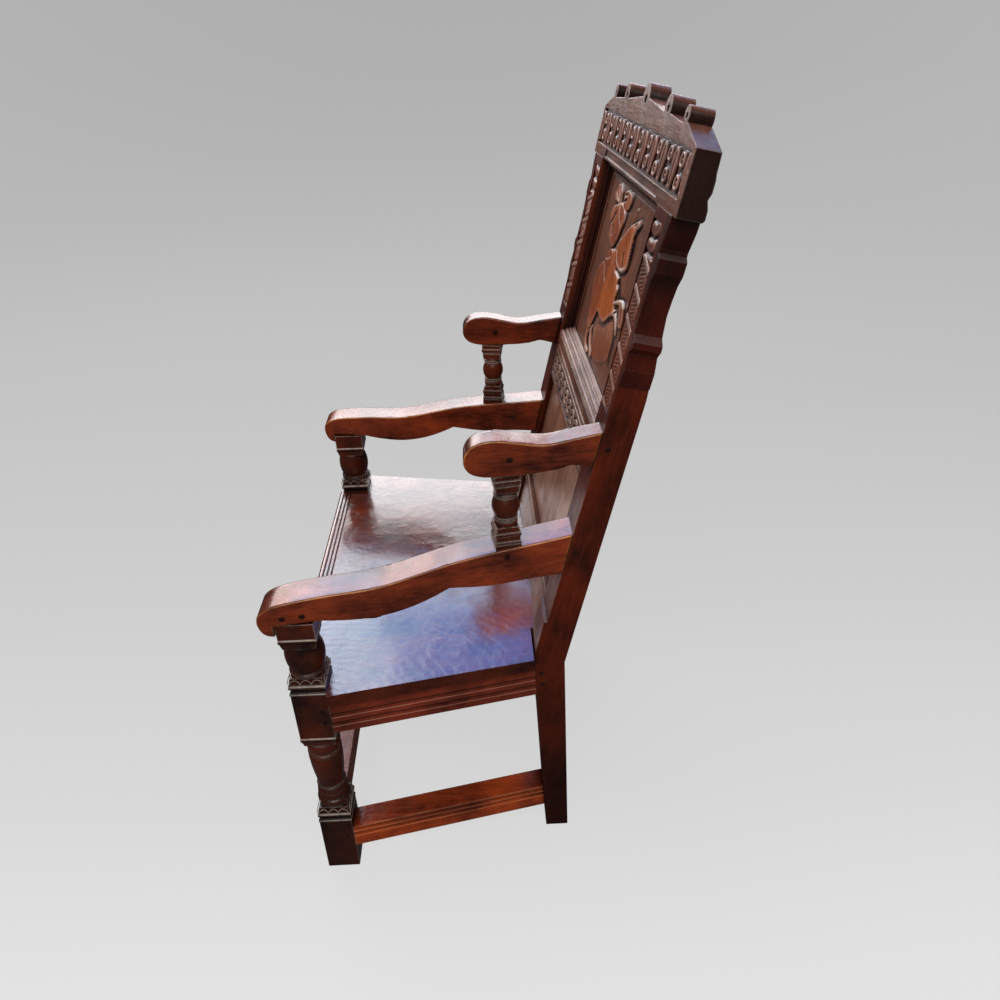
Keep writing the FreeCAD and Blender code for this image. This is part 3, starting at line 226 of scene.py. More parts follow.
def oak(name, dark, light, worn_and_highlight, wax_and_shade="0c0504", lie=(0, 0, 0), along="Z", gloss=0.30,
        wear_and_highlight=0.6, grime_and_shade=0.7, coat=0.0, shine=0.28, waver=0.25, streak=0.7, reach_in=0.008,
        end_share=0.0, dust_and_sheen=0.0, low=0.0, flank_shade=0.0, edge_reach=0.0018, arches=(),
        rubbed_and_highlight=False, painted_lines=(), ground=None):
    """Old waxed oak. Fibres and pores run along one axis, which can lie at a slant. Outer
    edges are rubbed to the worn colour, which also serves as a painted highlight along them,
    and hollows hold dark wax with painted shade: where a ground is given, by a carved mesh's
    own marks of ridge wear and highlight, of wax and shade, and of how raised it is, and
    elsewhere by how the surface turns and how shut in it is. End grain drinks the wax and is
    darker. Up-facing faces can take pale dust with a painted sheen, upright faces painted
    shade, and places are darker towards the bottom. A low streak leaves soft patches in place
    of the grain. Lines are level bands of painted shade, or of painted highlight in the worn
    colour, each a height, a half width, a share and whether it is a highlight. Arches give
    a patch worn bare, by the shift to its middle, its width and its colour, and arched
    grain, by the shift to its middle and its scale."""
    material = bpy.data.materials.new(name)
    material.use_nodes = True
    tree = material.node_tree
    shader = tree.nodes["Principled BSDF"]
    place = add(tree, "TexCoord").outputs["Object"]
    facing = add(tree, "NewGeometry").outputs["Normal"]
    turned = add(tree, "Mapping", {"Vector": place, "Rotation": lie}).outputs["Vector"]
    long = {"X": (0.06, 1, 1), "Y": (1, 0.06, 1), "Z": (1, 1, 0.06)}[along]
    fibres_lie = add(tree, "Mapping", {"Vector": turned, "Scale": long}).outputs["Vector"]
    broad = add(tree, "TexNoise", {"Vector": fibres_lie, "Scale": 34.0, "Detail": 5.0,
                                   "Roughness": 0.62, "Distortion": 0.6}).outputs["Fac"]
    patches = add(tree, "TexNoise", {"Vector": turned, "Scale": 9.0, "Detail": 4.0,
                                     "Roughness": 0.6}).outputs["Fac"]
    fibre = add(tree, "TexNoise", {"Vector": fibres_lie, "Scale": 330.0, "Detail": 6.0,
                                   "Roughness": 0.7, "Distortion": 0.3}).outputs["Fac"]
    pore = add(tree, "TexVoronoi", {"Vector": fibres_lie, "Scale": 620.0}).outputs["Distance"]
    grain = sums(tree, sums(tree, broad, fibre), streak, "MULTIPLY")
    half = 0.3 * math.sqrt((1 + 2 * streak * streak) / 3)
    tone = reach(tree, sums(tree, grain, patches), 0.5 + streak - half, 0.5 + streak + half)
    colour = mix(tree, tone, linear(dark), linear(light))
    normal = None
    if ground:
        ridge_and_highlight = add(tree, "Attribute", attribute_name="ridge_and_highlight").outputs["Fac"]
        sunk = add(tree, "Attribute", attribute_name="wax_and_shade").outputs["Fac"]
        raised = add(tree, "Attribute", attribute_name="raised").outputs["Fac"]
        colour = mix(tree, raised, mix(tree, tone, linear(ground[0]), linear(ground[1])), colour)
        edge = sums(tree, ridge_and_highlight, reach(tree, patches, 0.34, 0.58, 0.4, 1.0), "MULTIPLY")
    else:
        normal = add(tree, "Bevel", {"Radius": edge_reach}, samples=3).outputs["Normal"]
        same = add(tree, "VectorMath", {0: normal, 1: facing},
                   operation="DOT_PRODUCT").outputs["Value"]
        shut = add(tree, "AmbientOcclusion", {"Distance": reach_in}, samples=4).outputs["AO"]
        edge = sums(tree, reach(tree, same, 0.995, 0.86),
                    reach(tree, patches, 0.36, 0.60, 0.2, 1.0), "MULTIPLY")
        edge = sums(tree, edge, reach(tree, shut, 0.55, 0.80), "MULTIPLY")
        # Golden lines along worn-round edges: wear and a painted highlight.
        if rubbed_and_highlight:
            bare = add(tree, "Attribute", attribute_name="rubbed_and_highlight").outputs["Fac"]
            edge = sums(tree, bare, reach(tree, broad, 0.38, 0.62, 0.05, 1.0), "MULTIPLY")
            edge = sums(tree, edge, reach(tree, patches, 0.40, 0.56, 0.2, 1.0), "MULTIPLY")
        sunk = reach(tree, shut, 0.90, 0.40)
    pores = reach(tree, pore, 0.06, 0.32, 1.0 - 0.6 * streak, 1.0)
    pores = add(tree, "CombineColor", {"Red": pores, "Green": pores, "Blue": pores}).outputs[0]
    colour = mix(tree, 0.5, colour, pores, "MULTIPLY")
    if end_share:
        end = add(tree, "SeparateXYZ", {"Vector": facing}).outputs[along]
        end = reach(tree, sums(tree, end, 0.0, "ABSOLUTE"), 0.5, 0.95, 0.0, end_share)
        colour = mix(tree, end, colour, linear(wax_and_shade))
    # Outer edges take the worn colour: wear, and a painted highlight along them.
    colour = mix(tree, sums(tree, edge, wear_and_highlight, "MULTIPLY"), colour, linear(worn_and_highlight))
    up = add(tree, "SeparateXYZ", {"Vector": facing}).outputs["Z"]
    if low or painted_lines:
        rise = add(tree, "SeparateXYZ", {"Vector": place}).outputs["Z"]
    # Painted shade on upright faces.
    if flank_shade:
        colour = mix(tree, reach(tree, up, 0.9, 0.3, 0.0, flank_shade), colour, linear(wax_and_shade))
    # Pale dust and a painted sheen on up-facing faces.
    if dust_and_sheen:
        colour = mix(tree, reach(tree, up, 0.55, 0.95, 0.0, dust_and_sheen), colour, linear(dust_and_sheen_colour))
    # Dark wax and painted shade in hollows and where parts meet.
    colour = mix(tree, sums(tree, sunk, grime_and_shade, "MULTIPLY"), colour, linear(wax_and_shade))
    # Darker towards the bottom.
    if low:
        colour = mix(tree, reach(tree, rise, 0.48, 0.12, 0.0, low), colour, linear(wax_and_shade))
    # Level lines of painted shade, or of painted highlight in the worn colour.
    for line_height, half_wide, share, highlighted in painted_lines:
        away = sums(tree, sums(tree, rise, -line_height), 0.0, "ABSOLUTE")
        drawn = reach(tree, away, half_wide * 1.5, half_wide * 0.6, 0.0, share)
        if highlighted:
            drawn = sums(tree, drawn, reach(tree, broad, 0.3, 0.6, 0.25, 1.0), "MULTIPLY")
        colour = mix(tree, drawn, colour, linear(worn_and_highlight if highlighted else wax_and_shade))
    if arches:
        bare_shift, bare_wide, bare_colour, arch_shift, arch_scale = arches
        moved = add(tree, "Mapping", {"Vector": place, "Location": bare_shift}).outputs["Vector"]
        off = add(tree, "VectorMath", {0: moved}, operation="LENGTH").outputs["Value"]
        off = sums(tree, off, reach(tree, patches, 0.3, 0.7, -0.07, 0.07))
        bare = reach(tree, off, bare_wide, 0.0, 0.0, 0.8)
        colour = mix(tree, bare, colour, linear(bare_colour))
    tree.links.new(colour, shader.inputs["Base Color"])
    rough = sums(tree, reach(tree, fibre, 0.3, 0.7, gloss - 0.06, gloss + 0.12),
                 reach(tree, patches, 0.35, 0.65, 0.08, -0.05))
    tree.links.new(rough, shader.inputs["Roughness"])
    uneven = patches
    if arches:
        polished = sums(tree, reach(tree, off, 0.0, 0.085, 0.1, 1.0),
                        reach(tree, up, 0.5, 0.9), "MULTIPLY")
        tree.links.new(sums(tree, polished, coat, "MULTIPLY"), shader.inputs["Coat Weight"])
        shifted = add(tree, "Mapping", {"Vector": place, "Location": arch_shift,
                                        "Scale": arch_scale}).outputs["Vector"]
        rings = add(tree, "TexWave", {"Vector": shifted, "Scale": 24.0, "Distortion": 5.0,
                                      "Detail": 2.0, "Detail Scale": 1.2},
                    wave_type="RINGS", rings_direction="SPHERICAL").outputs["Fac"]
        fade = add(tree, "VectorMath", {0: shifted}, operation="LENGTH").outputs["Value"]
        rings = sums(tree, rings, reach(tree, fade, 0.34, 0.08, 0.004, 0.07), "MULTIPLY")
        uneven = sums(tree, patches, rings)
    planed = add(tree, "Bump", {"Height": uneven, "Strength": waver, "Distance": 0.012})
    bump = add(tree, "Bump", {"Height": sums(tree, fibre, pore), "Strength": 0.2 * streak,
                              "Distance": 0.0006, "Normal": planed.outputs["Normal"]})
    if normal:
        tree.links.new(normal, planed.inputs["Normal"])
    tree.links.new(bump.outputs["Normal"], shader.inputs["Normal"])
    shader.inputs["Specular IOR Level"].default_value = shine
    if not arches:
        shader.inputs["Coat Weight"].default_value = coat
    shader.inputs["Coat Roughness"].default_value = coat_roughness
    return material


def dress(node, material):
    """Gives a CAD node its finish."""
    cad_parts[node].material_slots[0].material = material


def repeated(name, unit, places, turns, material):
    """A plain mesh with one copy of a unit at every place, turned by its own angles,
    made by instancing in a geometry tree."""
    points = bpy.data.meshes.new(name + "_points")
    points.from_pydata([tuple(p) for p in places], [], [])
    angle = points.attributes.new("angle", "FLOAT_VECTOR", "POINT")
    angle.data.foreach_set("vector", np.array(turns, dtype=np.float32).ravel())
    holder = placed(name + "_points", points)
    unit_object = placed(name + "_unit", unit)
    tree = bpy.data.node_groups.new(name + "_tree", "GeometryNodeTree")
    face = tree.interface
    face.new_socket(name="Places", in_out="INPUT", socket_type="NodeSocketGeometry")
    unit_socket = face.new_socket(name="Unit", in_out="INPUT", socket_type="NodeSocketObject")
    paint_socket = face.new_socket(name="Finish", in_out="INPUT", socket_type="NodeSocketMaterial")
    face.new_socket(name="Pieces", in_out="OUTPUT", socket_type="NodeSocketGeometry")
    start = tree.nodes.new("NodeGroupInput")
    end = tree.nodes.new("NodeGroupOutput")
    info = tree.nodes.new("GeometryNodeObjectInfo")
    turned = tree.nodes.new("GeometryNodeInputNamedAttribute")
    turned.data_type = "FLOAT_VECTOR"
    turned.inputs["Name"].default_value = "angle"
    spin = tree.nodes.new("FunctionNodeEulerToRotation")
    spread = tree.nodes.new("GeometryNodeInstanceOnPoints")
    solid = tree.nodes.new("GeometryNodeRealizeInstances")
    paint = tree.nodes.new("GeometryNodeSetMaterial")
    links = tree.links
    links.new(start.outputs["Places"], spread.inputs["Points"])
    links.new(start.outputs["Unit"], info.inputs["Object"])
    links.new(info.outputs["Geometry"], spread.inputs["Instance"])
    links.new(turned.outputs["Attribute"], spin.inputs["Euler"])
    links.new(spin.outputs["Rotation"], spread.inputs["Rotation"])
    links.new(spread.outputs["Instances"], solid.inputs["Geometry"])
    links.new(solid.outputs["Geometry"], paint.inputs["Geometry"])
    links.new(start.outputs["Finish"], paint.inputs["Material"])
    links.new(paint.outputs["Geometry"], end.inputs["Pieces"])
    maker = holder.modifiers.new("spread", "NODES")
    maker.node_group = tree
    maker[unit_socket.identifier] = unit_object
    maker[paint_socket.identifier] = material
    graph = bpy.context.evaluated_depsgraph_get()
    mesh = bpy.data.meshes.new_from_object(holder.evaluated_get(graph), depsgraph=graph)
    holder.modifiers.remove(maker)
    mesh.name = name
    bpy.data.objects.remove(holder)
    bpy.data.objects.remove(unit_object)
    piece = placed(name, mesh)
    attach(piece, "root")


def ridge_mesh(name, line, radius, sides=6):
    """A thin half-round ridge that follows a line of (x, z) points, on the plane y = 0."""
    rows = []
    for index, (x, z) in enumerate(line):
        before = line[max(index - 1, 0)]
        after = line[min(index + 1, len(line) - 1)]
        along = Vector((after[0] - before[0], 0, after[1] - before[1])).normalized()
        side = Vector((along.z, 0, -along.x))
        width = radius * (0.45 if index in (0, len(line) - 1) else 1.0)
        for step in range(sides):
            angle = math.tau * step / sides
            out = math.cos(angle) * side + Vector((0, math.sin(angle), 0))
            rows.append(Vector((x, 0, z)) + width * out)
    faces = [tuple(range(sides))[::-1], tuple(range(len(rows) - sides, len(rows)))]
    for ring in range(len(line) - 1):
        for step in range(sides):
            a = ring * sides + step
            b = ring * sides + (step + 1) % sides
            faces.append((a, b, b + sides, a + sides))
    mesh = bpy.data.meshes.new(name)
    mesh.from_pydata(rows, [], faces)
    mesh.update()
    made = bmesh.new()
    made.from_mesh(mesh)
    bmesh.ops.recalc_face_normals(made, faces=made.faces)
    made.to_mesh(mesh)
    made.free()
    mesh.shade_smooth()
    return mesh


# Painted lines at the collars: pale painted highlights along the moulding edges and bands of dark
# painted shade beside them.
collar_lines = []
for top in collar_tops:
    collar_lines += [(top - 0.0145, 0.0014, 0.8, True), (top - 0.0307, 0.0012, 0.75, True),
                     (top - 0.0244, 0.0032, 0.85, False)]
for base in collar_bases:
    collar_lines += [(base + 0.0192, 0.0013, 0.85, True), (base + 0.0124, 0.0024, 0.85, False)]
post_oak = oak("post_oak", "1c0704", "702c14", "e0d2c4", wax_and_shade="060302", gloss=0.22, wear_and_highlight=1.0,
               grime_and_shade=0.9, shine=0.45, streak=0.1, waver=0.1, low=0.6, edge_reach=0.0024,
               painted_lines=collar_lines)
for side in ("left", "right"):
    dress("front_post_" + side, post_oak)

# Lunettes round the front posts' collars. They are cut into the square blocks' upper ends,
# three to a face, and stand as thin arched ridges between their hollows.
# The lunettes are painted pale, as wear with a painted highlight along their arcs.
collar_wear_and_highlight_oak = oak("collar_wear_and_highlight_oak", "85705f", "b8a494", "d8c8b8", wear_and_highlight=0.5, grime_and_shade=0.2, shine=0.5)
collar_lean = math.atan(2.8 / 11.9)
lunette_radius = 0.0083
lunette_stretch = 1.2
lunette_sunk = 0.0013
lunette_drop = 0.0114
lunette_thick = 0.0007
lunette_line = [(lunette_radius * math.cos(a), lunette_radius * math.sin(a) * lunette_stretch)
                for a in np.linspace(0.0, math.pi, 11)]
places = []
turns = []
for side in ("left", "right"):
    low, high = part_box("front_post_" + side)
    middle = Vector(((low.x + high.x) / 2, (low.y + high.y) / 2, 0))
    half = (high.x - low.x) / 2
    for top_height in collar_tops:
        for face in range(4):
            angle = face * math.pi / 2
            out = Vector((math.cos(angle), math.sin(angle), 0))
            along = Vector((-math.sin(angle), math.cos(angle), 0))
            for step in (-1, 0, 1):
                spot = middle + out * (half - lunette_sunk) + along * step * 2 * lunette_radius
                places.append((spot.x, spot.y, top_height - lunette_drop))
                turns.append((-collar_lean, 0.0, angle + math.pi / 2))
repeated("post_lunettes", ridge_mesh("lunette", lunette_line, lunette_thick), places, turns,
         collar_wear_and_highlight_oak)

# Rear stiles. Each is sawn from one plank, upright below the seat and raked above it,
# deep red-brown on its sides and greyer on its carved front.
rake = math.radians(12.15)
seat_front_to_back = 0.3865
seat_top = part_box("seat_board")[1].z
back_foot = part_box("seat_board")[0].y + seat_front_to_back


def on_back(across, rise, deep):
    """Places on the raked back: across it, up along it from the seat, and behind its face."""
    y = back_foot + rise * math.sin(rake) + deep * math.cos(rake)
    z = seat_top + rise * math.cos(rake) - deep * math.sin(rake)
    return np.stack([across + 0 * y, y, z], axis=-1)


def relief(name, across, up, step, ground, back, shape, material, mirror=False, rim_light=1.0,
           rim_shade=0.0):
    """A carved board: a fine grid over across and up whose face stands proud of the ground
    by the shape's height at each place, closed by flat sides and a back. It holds, for its
    finish, how far each place is a ridge, worn and given a painted highlight, a hollow, with
    dark wax and painted shade, or raised. The painted shade includes a shadow as if cast
    towards +x and down from each form, and the painted highlight the edges facing the other
    way, and the shape may add painted highlight and painted shade of its own. Lengths in
    millimetres."""
    columns = int((across[1] - across[0]) / step) + 1
    rows = int((up[1] - up[0]) / step) + 1
    x, v = np.meshgrid(np.linspace(across[0], across[1], columns), np.linspace(up[0], up[1], rows))
    height, lit, painted_shade = shape(x, v)
    wide = height
    for spread in (1, 2, 4):
        wide = sum(np.roll(np.roll(wide, i, 0), j, 1) for i in (-spread, 0, spread)
                   for j in (-spread, 0, spread)) / 9
    # Painted shade as if cast towards +x and down from each form, and a painted highlight on the
    # edges facing the other way.
    shaded = np.clip(np.roll(height, (-2, 4), (0, 1)) - height - 0.8, 0, 3) / 1.5
    caught = np.clip(height - np.roll(height, (-1, 2), (0, 1)) - 0.5, 0, 3) / 1.5
    ridge_and_highlight = np.clip(rim_light * (height - wide) / 0.9 + rim_shade * 0.6 * caught + lit, 0, 1)
    wax_and_shade = np.clip((wide - height) / 1.0 + painted_shade + rim_shade * shaded, 0, 1)
    side = -1.0 if mirror else 1.0
    front = on_back(side * x.ravel() / 1000, v.ravel() / 1000, (ground - height.ravel()) / 1000)
    rim = list(range(columns))
    rim += [r * columns + columns - 1 for r in range(1, rows)]
    rim += [(rows - 1) * columns + c for c in range(columns - 2, -1, -1)]
    rim += [r * columns for r in range(rows - 2, 0, -1)]
    behind = on_back(side * x.ravel()[rim] / 1000, v.ravel()[rim] / 1000,
                     np.full(len(rim), back / 1000))
    count = columns * rows
    base = (np.arange(rows - 1)[:, None] * columns + np.arange(columns - 1)[None, :]).ravel()
    ring = np.array(rim)
    backs = count + np.arange(len(rim))
    faces = np.vstack([np.stack([base, base + 1, base + columns + 1, base + columns], axis=1),
                       np.stack([ring, backs, np.roll(backs, -1), np.roll(ring, -1)], axis=1)])
    if mirror:
        faces = faces[:, ::-1]
    cap = [int(i) for i in (backs if mirror else backs[::-1])]
    mesh = bpy.data.meshes.new(name)
    mesh.from_pydata(np.vstack([front, behind]).tolist(), [], faces.tolist() + [cap])
    mesh.update()
    padding = np.zeros(len(rim))
    fields = {"ridge_and_highlight": ridge_and_highlight, "wax_and_shade": wax_and_shade, "raised": np.clip((height - 0.3) / 1.6, 0, 1)}
    for key, values in fields.items():
        held = mesh.attributes.new(key, "FLOAT", "POINT")
        held.data.foreach_set("value", np.concatenate([values.ravel(), padding]).astype(np.float32))
    mesh.shade_smooth()
    mesh.materials.append(material)
    piece = placed(name, mesh)
    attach(piece, "root")


def pillow(inside, width):
    """A rounded shoulder: nothing outside an edge, full height at width inside it."""
    share = np.clip(inside / width, 0, 1)
    return np.sqrt(1 - (1 - share) ** 2)


def line_distance(x, v, line):
    """The distance from every place to a line of points."""
    best = np.full(x.shape, 1e9)
    for (ax, av), (bx, bv) in zip(line, line[1:]):
        dx, dv = bx - ax, bv - av
        share = np.clip(((x - ax) * dx + (v - av) * dv) / (dx * dx + dv * dv + 1e-9), 0, 1)
        best = np.minimum(best, np.hypot(x - ax - share * dx, v - av - share * dv))
    return best


def punched(x, v, deep, size):
    """Small uneven dents, as a punch or a gouge leaves on a ground."""
    rows = np.round(v / size)
    u = (x / size + 0.5 * (rows % 2)) % 1.0 - 0.5
    w = v / size - rows
    wobble = 0.6 + 0.4 * np.sin(x * 0.61 + 1.7 * np.sin(v * 0.43)) * np.cos(v * 0.37 + x * 0.13)
    return -deep * wobble * np.clip(1 - (u * u + w * w) / 0.16, 0, 1)


# The stiles get painted shade where they meet the panels and other parts, and are darker towards
# the bottom.
stile_oak = oak("stile_oak", "2e0e07", "74280f", "b07858", lie=(rake, 0, 0), gloss=0.34, shine=0.2,
                low=0.75, streak=0.5, reach_in=0.02, grime_and_shade=0.9)
for side in ("left", "right"):
    dress("rear_stile_" + side, stile_oak)

# Carved strips on the stiles. A running leaf repeats down each, with gouged veins and a
# slanting band between every two leaves, on a sunk ground.
strip_oak = oak("strip_oak", "582210", "984e34", "ecd4c4", wax_and_shade="140603", lie=(rake, 0, 0),
                wear_and_highlight=0.6, grime_and_shade=1.0, ground=("4a1a0e", "7a3822"))
strip_period = 38.7
strip_band_rise = 571.0
strip_fill = 1.9


def strip_shape(x, v):
    """The strips' height, painted highlight and painted shade: veined leaves between slanting
    bands.
    """
    u = (v - strip_band_rise + 0.3 * (x - 232.0)) % strip_period
    from_band = np.minimum(u, strip_period - u)
    height = strip_fill + 1.1 * pillow(4.2 - from_band, 3.0) * (x > 208)
    veins = np.cos(math.tau * (u - 0.62 * (x - 232.0) - 9.0) / 5.2)
    inside = np.minimum(np.minimum(u - 9.0, 33.5 - u), np.minimum(x - 213.0, 247.0 - x))
    veined = pillow(inside, 3.0)
    height = height + veined * (0.95 * veins - 0.25)
    hump = pillow((1 - np.hypot((x - 243.0) / 7.5, (u - 24.0) / 8.0)) * 5, 4.0)
    height = np.maximum(height, strip_fill + 1.0 * hump)
    notch = pillow((1 - np.hypot((x - 248.5) / 3.6, (u - 7.5) / 3.4)) * 3, 2.5)
    height = height - 1.8 * notch
    top_leaf = line_distance(x, v, [(216, 652), (228, 650), (240, 656)])
    low_leaf = line_distance(x, v, [(214, 632), (226, 630), (238, 634)])
    leaves = np.maximum(3.0 * pillow(8.0 - top_leaf, 5), 3.0 * pillow(7.6 - low_leaf, 5))
    blend = np.clip((v - 617) / 5, 0, 1)
    height = height * (1 - blend) + leaves * blend
    edge = np.minimum(x - 206.0, 252.0 - x)
    height = height * np.clip(edge / 1.6, 0, 1)
    # Painted highlight along each slanting band and on the strips' lower edge, painted shade in the
    # notches and along the inner edge.
    lit = (0.5 * pillow(3.0 - from_band, 2.0) * (1 - blend)
           + 0.9 * np.clip(1 - (v - 420.2) / 1.6, 0, 1))
    painted_shade = 0.8 * notch * (1 - blend) + 0.7 * np.clip(1 - (x - 206.0) / 3.5, 0, 1)
    return height, lit, painted_shade


for side in ("left", "right"):
    relief("stile_carving_" + side, (206.2, 251.8), (420.2, 661.8), 0.8, 3.2, 3.6, strip_shape,
           strip_oak, mirror=side == "right", rim_light=0.35, rim_shade=0.8)

# Ear pieces. Shaped oak brackets on the stiles' outer edges under the crest's ends, nearly
# black, with pale dust and a painted sheen on their ledges and painted shade where they
# meet the crest and stiles.
ear_oak = oak("ear_oak", "200906", "541b0f", "9a6c58", lie=(rake, 0, 0), gloss=0.28, grime_and_shade=0.9,
              shine=0.3, dust_and_sheen=0.22, reach_in=0.02, streak=0.4)
for side in ("left", "right"):
    dress("ear_piece_" + side, ear_oak)

# Crest rail. A thick gabled board with turned-up scrolls along its top, grey-brown on its
# face and nearly black on its ends, with a band of leaves and rings on a punched ground.
crest_oak = oak("crest_oak", "48241a", "966250", "d4b4a4", lie=(rake, 0, 0), along="X", gloss=0.3,
                grime_and_shade=0.3, end_share=0.9, streak=0.5, wax_and_shade="180b09")
dress("crest_rail", crest_oak)
frieze_oak = oak("frieze_oak", "54200f", "a2563f", "e8d4c8", wax_and_shade="100503", lie=(rake, 0, 0),
                 wear_and_highlight=0.65, grime_and_shade=1.0, ground=("340f08", "74301f"))
leaf_period = 56.0
ring_outer = 9.5
ring_inner = 4.5


def frieze_shape(x, v):
    """The band's height: upright split leaves and, between them, pairs of rings."""
    u = x - np.round(x / leaf_period) * leaf_period
    w = v - 694.0
    half = np.where(w < 30, 4.5 + 7.5 * np.clip((w - 4) / 26, 0, 1) ** 0.7,
                    12.0 * np.sqrt(np.clip(1 - ((w - 30) / 18.5) ** 2, 0, 1)))
    height = 3.5 * pillow(half - np.abs(u), 3.0) * (w > 3) * (w < 48.5)
    height = height - 2.8 * np.clip(1 - np.abs(u) / 1.8, 0, 1) * (w > 8) * (w < 42)
    aside = np.abs(np.abs(u) - leaf_period / 2)
    for level in (13.5, 37.5):
        away = np.hypot(aside, w - level)
        ring = np.minimum(ring_outer - away, away - ring_inner)
        height = np.maximum(height, 3.3 * pillow(ring, 2.2))
        height = np.maximum(height, 2.6 * pillow(2.4 - away, 1.8))
    height = height * (w > 1.5) * (w < 50.5)
    return height + punched(x, v, 0.3, 2.9) * (height < 0.5), 0.0, 0.0


relief("crest_frieze", (-280.8, 280.8), (694.2, 745.8), 0.8, 3.65, 4.4, frieze_shape,
       frieze_oak, rim_light=0.3, rim_shade=0.8)

# Upper panel. A beast rears on it in low relief with a raised paw, a plume on its head
# and a curling tail. The moulding round it is mitred at its upper corners.
panel_oak = oak("panel_oak", "4a2416", "8a5038", "b8764a", lie=(rake, 0, 0), gloss=0.34)
dress("upper_panel", panel_oak)
beast_oak = oak("beast_oak", "843210", "d8702c", "f4e4d6", wax_and_shade="0e0402", lie=(rake, 0, 0),
                wear_and_highlight=0.75, grime_and_shade=1.0, streak=0.8, ground=("5e3020", "a0644a"))


def flowing(points, closed=True, steps=5):
    """A smooth line through the points."""
    count = len(points)
    line = []
    for index in range(count if closed else count - 1):
        if closed:
            four = [points[(index + k) % count] for k in (-1, 0, 1, 2)]
        else:
            four = [points[min(max(index + k, 0), count - 1)] for k in (-1, 0, 1, 2)]
        for step in range(steps):
            t = step / steps
            line.append(tuple(0.5 * (2 * b + (c - a) * t + (2 * a - 5 * b + 4 * c - d) * t * t
                                     + (3 * b - a - 3 * c + d) * t ** 3)
                              for a, b, c, d in zip(*four)))
    line.append(line[0] if closed else points[-1])
    return line


def inside_of(x, v, points):
    """How far each place lies inside a smooth closed outline; less than nothing outside."""
    line = flowing(points)
    crossings = np.zeros(x.shape, dtype=bool)
    for (ax, av), (bx, bv) in zip(line, line[1:]):
        if av != bv:
            crossings ^= ((v < av) != (v < bv)) & (x < ax + (v - av) * (bx - ax) / (bv - av))
    away = line_distance(x, v, line)
    return np.where(crossings, away, -away)


beast_forms = {
    "body": (3.0, 3.5, [(-79, 544), (-97, 534), (-109, 525), (-115, 512), (-118, 496), (-114, 482),
                        (-107, 471), (-95, 457), (-91, 447), (-88, 438), (-77, 430), (-60, 434),
                        (-47, 446), (-36, 467), (-22, 470), (-5, 466), (15, 468), (30, 475),
                        (41, 483), (60, 493), (71, 499),
                        (59, 509), (51, 518), (53, 531), (41, 537), (38, 545),
                        (18, 548), (4, 551), (-11, 557), (-26, 563), (-43, 568), (-60, 566)]),
    "shoulder": (2.4, 4.0, [(-34, 574), (-12, 582), (4, 572), (12, 560), (8, 546), (-20, 550),
                            (-40, 560)]),
    "thigh": (1.0, 9.0, [(-28, 447), (-28, 434), (-19, 422), (-3, 407), (32, 409), (74, 424),
                         (98, 438), (98, 454), (97, 466), (90, 478), (78, 486), (60, 486),
                         (45, 480), (30, 466), (12, 462), (-14, 457)]),
    "head": (4.0, 3.5, [(-106, 621), (-111, 612), (-111, 603), (-97, 595), (-92, 583), (-87, 576),
                        (-70, 571), (-55, 567), (-43, 571), (-31, 586), (-23, 601), (-15, 615),
                        (-18, 628), (-38, 633), (-56, 635), (-83, 629)]),
    "arm": (4.5, 4.0, [(85, 632), (77, 636), (60, 629), (37, 620), (24, 612), (8, 600), (-8, 591),
                       (-16, 581), (-13, 573), (2, 562), (20, 556), (41, 554), (64, 560), (74, 568),
                       (72, 580), (69, 593), (67, 604), (69, 613), (76, 622), (84, 627)]),
    "plume": (3.5, 2.8, [(-35, 656), (-50, 652), (-50, 640), (-46, 633), (-27, 629), (-12, 631),
                         (-2, 642), (-3, 651), (-14, 656)]),
    "ear": (3.2, 2.6, [(-108, 655), (-116, 648), (-121, 637), (-118, 630), (-98, 628), (-76, 628),
                       (-64, 629), (-70, 638), (-76, 648), (-90, 655)]),
    "tail": (3.6, 2.6, [(52, 509), (58, 515), (69, 520), (87, 526), (103, 528), (116, 524),
                        (124, 513), (128, 500), (121, 494), (108, 499), (104, 510), (94, 517),
                        (81, 517), (67, 512)]),
    "tail_root": (2.6, 2.0, [(62, 503), (75, 505), (88, 501), (100, 494), (112, 482), (106, 479),
                             (94, 488), (80, 495), (66, 496)]),
    "first_leg": (2.8, 2.2, [(-79, 436), (-75, 420), (-72, 410), (-60, 399), (-40, 397), (-38, 403),
                             (-54, 407), (-62, 416), (-64, 432)]),
    "second_leg": (2.8, 2.2, [(-60, 442), (-50, 430), (-36, 416), (-10, 402), (-3, 408), (-24, 420),
                              (-38, 432), (-46, 444)]),
}
# Cuts into the beast, each a depth, a width and points; they also carry painted shade.
beast_cuts = [
    (4.0, 13.0, [(44, 642), (25, 626), (10, 611), (-10, 591), (-30, 574)]),
    (3.4, 9.0, [(-80, 616), (-89, 604), (-100, 592)]),
    (2.2, 7.0, [(-79, 597), (-69, 586)]),
    (2.6, 7.0, [(-101, 657), (-92, 647), (-82, 638), (-74, 630)]),
    (2.2, 5.0, [(-48, 655), (-36, 658)]),
    (2.2, 5.0, [(-47, 647), (-33, 650)]),
    (2.2, 5.0, [(-44, 639), (-30, 643)]),
    (2.6, 7.0, [(62, 625), (70, 630), (76, 634)]),
    (2.2, 8.0, [(42, 580), (47, 571), (50, 564)]),
    (3.0, 9.0, [(-36, 468), (-46, 452), (-54, 440)]),
    (3.0, 7.0, [(-9, 462), (4, 468)]),
    (3.0, 9.0, [(34, 474), (48, 484), (60, 490)]),
    (3.0, 6.0, [(70, 501), (77, 505), (84, 507)]),
    (2.4, 6.0, [(102, 524), (109, 516), (116, 508), (122, 500)]),
]
